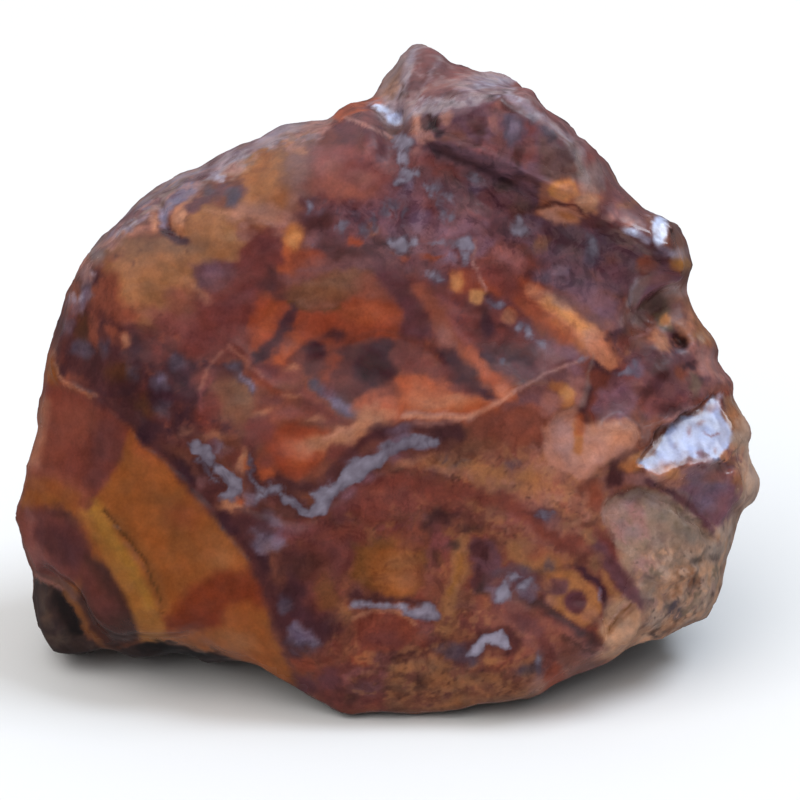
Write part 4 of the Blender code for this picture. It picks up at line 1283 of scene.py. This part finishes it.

# The smooth lobe at the lower left with its bands, and the rind under it, whose black brown and black patches
# are painted shade under the lobe's overhang. The thin bright coral line along the lobe's upper ridge is a
# painted highlight.
OCHRE_LOBE = """
patch red brown: 10 0.5: 42,380 100,398 132,430 116,468 96,500 60,482 30,472
spots warm brick: 20 1 0.7: 72,424,28,22 50,456,16,12
spots oxblood: 16: 106,444,14,24,20 96,478,12,12
band coral: 12 12 0.6 0.7: 44,404 40,440 30,472
spots salmon: 8 0.6 0.4: 36,468,6,8
patch caramel: 12 0.5: 132,432 150,448 175,468 200,498 160,510 96,504 116,468
spots light rust: 18 1 0.5: 146,448,20,10,40
band warm brick: 20 14 0.5: 22,476 56,480 82,496
band caramel: 12 12 0.5 0.7: 22,480 56,486 88,506
patch oxblood: 14 0.6: 18,508 60,506 82,528 92,556 74,584 34,576 22,540
patch dark plum: 16 0.7 0.9: 34,528 76,524 88,552 80,572 50,556
spots dark umber: 12 1 0.8: 66,516,14,6,20
spots pink mauve: 12 1 0.55: 34,552,7,14,-16 30,520,5,12
band mauve brown: 8 8 0.6 0.8: 40,574 64,586 84,604
patch dark umber: 10 0.5: 84,552 104,562 130,598 146,640 112,651 92,636 78,600
spots oxblood: 14 1 0.7: 88,580,10,18,-30 104,606,10,16,-20
spots dark caramel: 26 1 0.35: 160,500,30,8,10 178,540,12,30,-30
spots bright ochre: 26 1 0.5: 224,556,14,26,-24
spots rust: 22 1 0.4: 184,514,18,12
patch red caramel: 16 0.6 0.9: 164,622 188,588 224,570 250,572 258,596 226,612 190,632 168,634
spots red caramel: 16: 258,588,8,20,-20 212,618,30,8,-10
spots caramel: 16 1 0.8: 240,626,20,24 196,638,24,7
spots bright ochre: 14 1 0.6: 236,642,22,9,20
band yellow ochre: 24/26 8 0.4: 92,510 108,540 128,574 144,610 154,638
band gold: 14/9 9 0.4 0.9: 96,512 112,540 134,574 148,604
spots red brown: 7 0.5 0.7: 86,503,8,7
band umber: 3/2.2 3.5 0.6: 104,510 122,530 140,554 153,580 162,612
band dark caramel: 10 10 0.4 0.5: 112,516 134,540 152,568 164,604
band bright coral: 3 4 0.5 0.6: 52,352 58,374 66,384 96,396
band dark plum: 12/18 12 0.7: 100,400 130,416 150,436 178,468 208,502 238,534 262,570 274,604 296,650
spots ink: 10: 148,432,10,12 184,474,12,7,45 226,520,12,7,45 262,556,6,14,-20
patch black brown: 4 0.5: 20,574 44,582 60,590 74,606 84,634 110,652 148,642 216,654 250,664 250,700 10,700
patch black: 7 0.8: 54,592 66,596 78,614 86,636 76,640 60,622
spots black: 6: 160,648,18,5 196,654,18,4
spots dark khaki: 10 1.6 0.4: 44,608,6,18 58,640,16,7 96,652,12,4
band pink mauve: 3 4 0.5 0.8: 36,576 50,583 62,590
band dark caramel: 5 5 0.6 0.7: 66,594 78,608 86,630 102,644
band bright ochre: 2.5 4 0.6 0.7: 158,636 176,642 214,652
"""

# The blue-grey veins and flecks. The thin light lines at the end run along the crest and the ridges near it,
# and are painted highlights on those ridges.
CHALCEDONY = """
band dark plum: 30 18 1 0.45: 192,440 214,470 232,500 262,508 300,520 330,512 360,474 400,446 446,440
spots dark plum: 11: 212,488,14,10 250,520,22,9 258,530,14,16 262,480,14,7
spots rose brown: 7 1.2: 222,452,8,5 204,480,8,8 300,502,6,6 290,530,12,5 272,486,8,8
vein_patch: 0.6 0.9: 188,442 198,438 210,444 215,456 212,468 204,466 200,457 192,453
vein_patch: 0.6 0.9: 212,460 222,465 232,473 242,481 243,492 235,501 222,503 216,498 227,491 224,481 214,472
vein_band dark plum: 4 0.4: 198,462 208,472 214,484
vein_band dark plum: 3/7 0.4: 250,458 252,474 258,488
vein_band dark plum: 7/9 0.5 1.1: 257,498 264,490 278,488 288,496 299,509
vein_patch: 0.62 0.7: 290,500 300,507 308,508 314,499 308,490 322,488 335,486 341,471 350,462 378,454
    398,440 412,435 440,438 440,445 414,448 398,453 380,466 364,479 350,487 338,493 331,504 325,515 308,518
    297,514
vein_spots plum: 0.5: 356,466,11,9,-30 390,448,12,7,-30 324,492,9,9
spots slate mauve: 6 1.2 0.7: 424,442,16,5 398,440,12,5,-20 214,446,9,6 250,500,12,5
patch slate mauve: 8 1 0.85: 254,530 268,537 282,530 286,546 272,552 256,550
spots slate mauve: 8 1.2 0.5: 277,522,6,9,-20
spots slate: 9 1.3 0.5: 262,536,12,10 270,516,8,8
spots coral: 6: 243,462,6,11,-6
spots coral: 7 1.4: 232,507,13,5,-8
spots light rust: 6 1 0.8: 264,466,9,10,-20 246,466,3,5 240,502,5,4 266,474,8,7
band dark plum: 6 6 1 0.8: 350,597 380,597 410,601 434,605
vein_band bare: 8/7 0.6 0.8: 354,604 372,603 396,606 410,610
vein_band bare: 8/15 0.6 0.9: 404,609 420,613 434,615
vein_spots plum: 0.7 1: 504,592,8,12,14 526,584,9,5,-20 512,578,10,4
spots slate mauve: 7 1.2 0.6: 496,592,8,9 530,590,9,7
band dark plum: 18/24 9 0.8 0.8: 462,658 474,650 484,640 500,637 511,643
spots slate: 9 1.2 0.8: 454,652,12,8 470,660,8,6
vein_patch: 0.8: 475,640 480,634 491,634 503,629 508,638 512,648 504,649 497,646 487,645 481,653 475,658
    465,657 470,650
spots dark slate: 8 0.8 0.7: 538,664,6,13,6 526,670,8,5
vein_spots bare: 0.5 0.6: 538,664,3,9,4
vein_spots ink: 0.3 0.9: 543,514,9,5,4
spots ink: 14 1.2 0.8: 292,600,12,20 320,630,18,12 306,616,14,10
spots slate: 9 1.3 0.9: 284,606,7,8 304,644,13,7 298,630,7,6
spots slate mauve: 10 1.3 0.7: 304,636,13,9,30
vein_spots plum: 0.7 1: 404,144,9,10 404,160,7,10 410,174,9,7,-20 400,182,5,5
vein_spots bare: 0.6 1: 420,172,4,6,20 396,140,4,5
vein_spots plum: 0.62 1: 401,246,10,9,-10 414,240,5,8 388,242,5,5
vein_spots wine: 0.58 0.9: 463,242,11,8,-10 466,256,5,9
vein_spots plum: 0.5 1: 434,272,9,5,20 440,277,5,4
vein_spots plum: 0.6 0.8: 476,180,9,4,4 474,176,4,4
vein_spots plum: 0.65 0.6: 521,231,10,6,10 519,222,6,8
vein_spots violet brown: 0.55 0.6: 592,250,7,12,-4 590,240,6,5
vein_spots plum: 0.42 1.2: 436,184,7,5,-20 446,196,9,3,30 432,196,3,7 428,186,4,4
vein_spots plum: 0.4 1.2: 440,212,4,9 452,214,5,6 404,214,3,11 392,208,3,10,-10 384,212,3,9,-8
vein_spots plum: 0.36 1.2: 372,222,4,9 342,228,5,8,20 362,230,3,8 308,208,4,7 438,242,8,3
vein_spots plum: 0.5 1: 495,303,7,4 518,327,6,6 530,331,5,8,-20 543,344,6,4
vein_spots wine: 0.25 1.2: 628,372,10,5,-20 636,364,4,6 502,362,5,5
spots slate mauve: 9 1.2 0.4: 548,352,12,7,30 404,196,6,5 560,300,14,5,20 420,222,10,8
vein_spots bare: 0.55 0.8: 582,357,5,3
band light salmon: 5/4 4 0.5 0.8: 404,414 436,418 468,418 484,410 514,392
band pink tan: 3 4 0.5 0.8: 514,392 540,376 566,366 586,356
band greyed mauve: 3/5 5 0.5 0.6: 594,354 588,380 582,406
band salmon: 2.5 4 0.5 0.5: 352,119 376,130 398,141
"""

# Small tones over the finished regions, and the dark seam between the two amber lobes. The thin pink tan and
# salmon lines near the end run along ridges and are painted highlights, and the stone grey spots are partly
# painted glints.
LAST_TONES = """
spots slate mauve: 8 0.8 0.6: 408,183,8,8 530,224,12,9 591,260,10,8 665,252,7,6 637,368,9,7 476,187,9,7
spots mauve: 8 0.8 0.7: 504,200,10,8 607,272,10,8 346,492,9,7 394,456,9,6 368,476,9,7
spots mauve brown: 8 0.8 0.8: 503,185,9,6 521,208,9,7 600,222,9,6,20
spots pink mauve: 8 0.8 0.6: 649,269,9,7 516,607,11,8 550,520,9,7 669,485,8,4 662,465,8,4 640,319,8,6
    712,408,5,4
spots pink tan: 8 0.8 0.6: 421,136,9,7 613,510,9,8 640,317,7,5
spots plum: 8 0.8 0.8: 590,220,11,5,-16 606,210,6,9,-30
spots greyed mauve: 8 0.8 0.6: 588,180,6,10,-20 598,188,6,5
spots mauve brown: 8 0.8 0.6: 657,304,12,9
spots dark plum: 8 0.8 0.5: 82,385,10,5,20
spots oxblood: 8 0.8 0.6: 260,420,8,6
spots dusty rose: 8 0.8 0.6: 498,315,9,7
spots greyed mauve: 8 0.8 0.7: 636,320,8,7 675,291,8,4
spots burgundy: 8 0.8 0.7: 492,274,12,8,30 510,287,14,8,30
spots light rust: 8 0.8 0.6: 530,310,20,6,42 556,332,18,6,42
spots orange: 8 0.8 0.7: 596,345,9,14,-30
spots bright amber: 8 0.8 0.9: 476,297,8,8
spots coral: 8 0.8 0.8: 508,315,7,6
spots brick: 8 0.8 0.6: 328,660,24,8
spots dark caramel: 8 0.8 0.6: 326,594,12,16,-20
spots ochre: 8 0.8 0.7: 737,424,4,9,-14 739,477,4,8
spots salmon: 8 0.8 0.7: 669,483,9,4
spots stone grey: 8 0.8 0.7: 680,254,7,6 675,287,8,5 714,465,8,5
spots tan: 8 0.8 0.8: 738,437,5,7
spots bright coral: 8 0.8 0.6: 566,191,10,6 590,198,7,6
spots warm brick: 8 0.8 0.7: 420,640,9,7
spots oxblood: 8 0.8 0.8: 265,461,8,6 199,380,9,8 346,378,7,5
spots wine: 8 0.8 0.6: 520,370,11,7 210,444,6,6 282,534,8,6 264,372,9,7
spots slate mauve: 8 0.8 0.4: 683,458,6,4
band dark plum: 4 4 0.7 0.6: 538,205 552,203 566,203 582,211
band pink tan: 3 3 0.5 0.7: 476,240 473,252 474,266 479,278 487,289
band pink tan: 4 3 0.4 0.7: 346,117 372,127 396,140
band salmon: 4 4 0.5 0.4: 228,345 246,360 263,377
band salmon: 4 4 0.5 0.4: 200,391 208,370 222,351
vein_spots bare: 0.5 0.8: 427,611,12,8
"""

# Where the face is dull, and where it is full of small clots
FINISHES = """
field mottle: 0.15: 48,350 100,398 150,448 200,498 250,560 300,690 180,645 85,632 20,560 20,480
field mottle: 0.9: 300,200 400,140 520,150 640,240 600,300 480,262 400,272
field mottle: 0.28 24: 110,270 200,205 300,150 396,130 396,200 300,205 270,262 300,266 480,280 600,350
    600,410 400,440 300,490 240,440 180,330
field mottle: 0.55: 280,530 340,480 440,450 600,470 640,600 560,690 340,712 290,650
field mottle: 0.35 30: 480,440 600,450 640,520 650,600 600,660 500,650 520,560 480,500
field mottle: 0.3: 545,425 580,408 636,420 636,455 580,492
field dull: 0.55 14: 640,560 690,545 740,500 740,600 690,640 610,670 605,640
field dull: 0.35 8: 606,512 640,488 700,530 690,590 640,572
field dull: 0.5 20: 640,300 690,285 735,390 700,400 660,380
field dull: 0.8 8: 10,580 60,588 84,634 108,642 150,640 215,652 262,664 310,690 310,704 10,704
field dull: 0.6 10: 736,380 790,380 790,520 744,516
field dull: 0.45 10: 372,104 392,60 420,36 470,62 490,80 430,104
field dull: 0.7 10: 362,96 412,96 412,130 400,172 380,172 362,140
field dull: 0.6 8: 490,84 516,84 576,136 590,156 560,148 520,112 492,98
field dull: 0.65 8: 630,330 668,332 668,354 630,354
field dull: 0.6 8: 592,404 644,402 646,448 632,430 592,430
field dull: 0.5 8: 602,204 640,204 646,222 620,226 604,218
field dull: 0.95 8: 420,134 452,138 500,152 540,164 560,176 560,200 500,190 440,164
field dull: 0.6 6: 542,174 586,172 594,200 550,206
field dull: 0.7 5: 638,448 640,428 656,426 668,412 692,400 704,402 684,416 668,428 656,442
field dull: 0.6 10: 484,346 544,342 548,384 484,388
field mottle: 0.2 6: 622,314 632,286 650,266 692,256 692,274 640,306
field dull: 0.25 4 0.5: 632,472 637,456 652,446 664,424 686,412 703,400 711,390 740,438 724,462 680,468
field mottle: 0 4 0.5: 632,472 637,456 652,446 664,424 686,412 703,400 711,390 740,438 724,462 680,468
field mottle: 0.25 10: 536,178 612,178 612,226 536,226
"""


def sides_and_back(paint):
    """Broken jasper in the same colours, partly under its own weathered skin, with painted shade underneath.
    """
    back = 1.0 - paint.front
    paint.only = back
    at = paint.at_mm
    large = noise_field(at, size=15.0, seed=51, octaves=3)
    middling = noise_field(at, size=6.0, seed=52, octaves=3)
    small = noise_field(at, size=2.0, seed=53, octaves=3)
    streaks = noise_field(at * np.array((0.5, 1.0, 1.6)), size=7.0, seed=54, octaves=3)
    for name, value, soft in (
        ("oxblood", middling - 0.02, 0.35),
        ("dark plum", streaks - 0.22, 0.3),
        ("warm brick", small * 0.5 + middling * 0.8 - 0.12, 0.4),
        ("ochre", large + middling * 0.5 - 0.16, 0.25),
        ("flame", small * 0.4 - middling - 0.4, 0.3),
    ):
        paint.cover(name, value, soft, strength=0.8)
    vein = 0.045 - np.abs(streaks + 0.25 * small + 0.1)
    paint.vein(vein * 60.0, pale=0.3, soft=5.0)
    skin = smooth_step(-0.12, 0.12, large + middling * 0.25 + 0.16) * back
    paint.quartz *= 1.0 - skin
    paint.only = skin
    paint.cover("grey brown", np.ones(len(skin)), soft=1.0, strength=1.0)
    for name, value, soft in (
        ("khaki", middling + 0.05, 0.8),
        ("dark khaki", small * 0.3 + streaks - 0.08, 0.6),
        ("ochre", streaks - middling * 0.5 - 0.22, 0.5),
        ("brick", large * 0.5 - middling - 0.2, 0.4),
        ("black brown", -small - middling * 0.5 - 0.42, 0.3),
    ):
        paint.cover(name, value, soft, strength=0.6)
    paint.only = back
    # Painted shade: where the normals point down, the underside is darkened towards black brown
    paint.cover("black brown", -0.35 - paint.up, soft=0.5, strength=0.8)
    paint.dull += (0.85 - paint.dull) * skin
    paint.mottle += (0.6 - paint.mottle) * back
    paint.dull = np.maximum(paint.dull, 0.7 * paint.turned)
    paint.only = np.ones(len(back))


def paint_stone(stone):
    """Colours and finishes, from the large areas to the last small tones."""
    paint = Paint(stone.data)
    make_marks(paint, BROAD_COLOURS)
    paint.only = paint.front
    regions = (LOWER_MIDDLE, UPPER_LEFT, UPPER_MIDDLE, CENTRE_LEFT, TOP_BLOCK, RIGHT_SIDE, OCHRE_LOBE)
    for notes in (GROUND_CLOTS,) + regions + (CHALCEDONY, LAST_TONES):
        make_marks(paint, notes)
    paint.only = np.ones(len(paint.only))
    make_marks(paint, FINISHES)
    sides_and_back(paint)
    paint.settle()


class Nodes:
    """Adds shader nodes to one material and links them."""

    def __init__(self, material):
        self.tree = material.node_tree

    def add(self, kind, sockets=None, **settings):
        node = self.tree.nodes.new(kind)
        for name, value in settings.items():
            setattr(node, name, value)
        for key, value in (sockets or {}).items():
            if isinstance(value, bpy.types.NodeSocket):
                self.tree.links.new(value, node.inputs[key])
            else:
                node.inputs[key].default_value = value
        return node

    def noise(self, where, scale, detail=3.0, roughness=0.5, distortion=0.0):
        sockets = {"Vector": where, "Scale": scale, "Detail": detail, "Roughness": roughness}
        return self.add("ShaderNodeTexNoise", {**sockets, "Distortion": distortion}).outputs["Fac"]

    def math(self, operation, a, b=0.0, clamp=False):
        return self.add("ShaderNodeMath", {0: a, 1: b}, operation=operation, use_clamp=clamp).outputs[0]

    def between(self, value, low, high, to_low=0.0, to_high=1.0):
        sockets = {"Value": value, "From Min": low, "From Max": high, "To Min": to_low, "To Max": to_high}
        return self.add("ShaderNodeMapRange", sockets, interpolation_type="SMOOTHSTEP").outputs[0]

    def mix(self, share, a, b, blend="MIX"):
        sockets = {0: share, 6: a, 7: b}
        return self.add("ShaderNodeMix", sockets, data_type="RGBA", blend_type=blend).outputs[2]


def linear(name):
    """A colour of the palette as light, for a socket."""
    return (*to_linear(rgb(name)), 1.0)


def jasper_finish():
    """Polished-looking jasper with chalcedony, dull where it is weathered."""
    material = bpy.data.materials.new("jasper")
    material.use_nodes = True
    nodes = Nodes(material)
    shader = material.node_tree.nodes["Principled BSDF"]
    where = nodes.add("ShaderNodeTexCoord").outputs["Object"]
    colour = nodes.add("ShaderNodeAttribute", attribute_name="colour").outputs["Color"]
    finish = nodes.add("ShaderNodeAttribute", attribute_name="finish")
    split = nodes.add("ShaderNodeSeparateColor", {0: finish.outputs["Color"]})
    quartz, dull, mottle = split.outputs[0], split.outputs[1], split.outputs[2]
    pale = finish.outputs["Alpha"]

    clots = nodes.noise(where, CLOT_SCALE, detail=4.0, roughness=0.55, distortion=0.8)
    grains = nodes.noise(where, GRAIN_SCALE, detail=3.0, roughness=0.6, distortion=0.4)
    fine = nodes.noise(where, FINE_SCALE, detail=2.0, roughness=0.6)
    broad = nodes.noise(where, BROAD_SCALE, detail=3.0, roughness=0.5, distortion=0.5)

    darker = nodes.mix(1.0, colour, DARK_CLOT_TINT, "MULTIPLY")
    lighter = nodes.mix(1.0, colour, LIGHT_CLOT_TINT, "MULTIPLY")
    dark_share = nodes.math("MULTIPLY", nodes.between(clots, 0.50, 0.36), mottle)
    light_share = nodes.math("MULTIPLY", nodes.between(clots, 0.53, 0.68), mottle)
    mottled = nodes.mix(dark_share, colour, darker)
    mottled = nodes.mix(light_share, mottled, lighter)
    grain_most = nodes.math("MULTIPLY", mottle, 0.6)
    grain_share = nodes.math("MULTIPLY", nodes.between(grains, 0.46, 0.34), grain_most)
    mottled = nodes.mix(grain_share, mottled, nodes.mix(1.0, mottled, DARK_GRAIN_TINT, "MULTIPLY"))
    warmer = nodes.mix(1.0, mottled, WARM_TINT, "MULTIPLY")
    toned = nodes.mix(nodes.between(broad, 0.35, 0.65, 0.0, 0.35), mottled, warmer)
    grey = nodes.between(fine, 0.3, 0.7, 0.93, 1.07)
    grey_colour = nodes.add("ShaderNodeCombineColor", {0: grey, 1: grey, 2: grey}).outputs[0]
    body = nodes.mix(1.0, toned, grey_colour, "MULTIPLY")

    ragged = nodes.math("MULTIPLY", nodes.math("SUBTRACT", grains, 0.5), 0.9)
    vein = nodes.between(nodes.math("ADD", quartz, ragged), 0.22, 0.88)
    drift = nodes.math("MULTIPLY", nodes.math("SUBTRACT", clots, 0.5), 0.9)
    paleness = nodes.math("MULTIPLY", pale, nodes.math("MULTIPLY", pale, 0.8))
    clouds = nodes.math("ADD", paleness, drift, clamp=True)
    chalcedony = nodes.mix(clouds, linear("slate"), linear("pearl"))
    surface = nodes.mix(nodes.math("MULTIPLY", vein, 0.92), body, chalcedony)
    nodes.tree.links.new(surface, shader.inputs["Base Color"])

    rough = nodes.between(dull, 0.0, 1.0, POLISHED_ROUGHNESS, WEATHERED_ROUGHNESS)
    rough = nodes.math("ADD", rough, nodes.between(clots, 0.35, 0.65, -0.05, 0.07))
    rough = nodes.math("SUBTRACT", rough, nodes.math("MULTIPLY", vein, 0.06), clamp=True)
    nodes.tree.links.new(rough, shader.inputs["Roughness"])
    shader.inputs["IOR"].default_value = JASPER_IOR
    shader.inputs["Specular IOR Level"].default_value = JASPER_SPECULAR

    uneven = nodes.between(mottle, 0.0, 0.35, 0.08, 1.0)
    swell = nodes.add("ShaderNodeBump", {
        "Height": clots, "Distance": SWELL_HEIGHT,
        "Strength": nodes.math("MULTIPLY", nodes.between(dull, 0.0, 1.0, 0.25, 0.9), uneven),
    })
    pores = nodes.add("ShaderNodeBump", {
        "Height": grains, "Distance": PORE_DEPTH,
        "Strength": nodes.math("MULTIPLY", nodes.between(dull, 0.0, 1.0, 0.2, 1.0), uneven),
        "Normal": swell.outputs[0],
    })
    nodes.tree.links.new(pores.outputs[0], shader.inputs["Normal"])
    return material


def pale_floor():
    """A plain pale floor that runs well past the frame."""
    bpy.ops.object.select_all(action="DESELECT")
    bpy.ops.mesh.primitive_plane_add(size=8.0, location=(0.0, 1.0, 0.0))
    floor = bpy.context.active_object
    floor.name = "floor"
    bpy.ops.object.transform_apply(location=True, rotation=True, scale=True)
    material = bpy.data.materials.new("pale floor")
    material.use_nodes = True
    shader = material.node_tree.nodes["Principled BSDF"]
    shader.inputs["Base Color"].default_value = FLOOR_COLOUR
    shader.inputs["Roughness"].default_value = 0.8
    shader.inputs["Specular IOR Level"].default_value = 0.2
    floor.data.materials.append(material)
    floor.visible_glossy = False


def soft_sun(name, direction, strength, width, colour, mirrored=True):
    """Light from a direction, as wide across as a large soft box, in degrees."""
    light = bpy.data.lights.new(name, "SUN")
    light.energy = strength
    light.angle = math.radians(width)
    light.color = colour
    lamp = bpy.data.objects.new(name, light)
    lamp.rotation_euler = Vector(direction).to_track_quat("Z", "Y").to_euler()
    lamp.visible_glossy = mirrored
    bpy.context.scene.collection.objects.link(lamp)


def studio_light():
    """A soft pale sky, a wide key light from the left and a smaller one from the upper right."""
    scene = bpy.context.scene
    world = bpy.data.worlds.new("studio")
    world.use_nodes = True
    nodes = Nodes(world)
    background = world.node_tree.nodes["Background"]
    sky_place = nodes.add("ShaderNodeTexCoord").outputs["Generated"]
    height = nodes.add("ShaderNodeSeparateXYZ", {0: sky_place}).outputs[2]
    nodes.tree.links.new(nodes.between(height, 0.35, 0.90, 0.19, 0.95), background.inputs["Strength"])
    background.inputs["Color"].default_value = (0.95, 0.97, 1.0, 1.0)
    scene.world = world
    scene.view_settings.view_transform = "Standard"
    soft_sun("key", (-0.45, -0.45, 0.77), strength=1.30, width=64.0, colour=(1.0, 0.96, 0.93), mirrored=False)
    soft_sun("sky", (0.47, 0.05, 0.88), strength=1.5, width=26.0, colour=(0.78, 0.87, 1.0))


def camera_at_eye():
    """A camera straight out from the leaning face, with the photograph's frame."""
    data = bpy.data.cameras.new("camera")
    data.sensor_width = SENSOR_MM
    data.lens = SENSOR_MM * EYE_DISTANCE_MM / (FRAME_PX * MM_PER_PX)
    data.clip_start = 0.01
    camera = bpy.data.objects.new("camera", data)
    camera.location = MIDDLE + OUT * EYE_DISTANCE_MM / 1000.0
    camera.rotation_euler = (math.pi / 2.0 - LEAN, 0.0, 0.0)
    bpy.context.scene.collection.objects.link(camera)
    bpy.context.scene.camera = camera


stone = fine_copy(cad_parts["stone"])
shape_face(stone)
paint_stone(stone)
stone.data.materials.clear()
stone.data.materials.append(jasper_finish())
bpy.ops.object.shade_smooth()
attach(stone, "root")
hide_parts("stone")
pale_floor()
studio_light()
camera_at_eye()
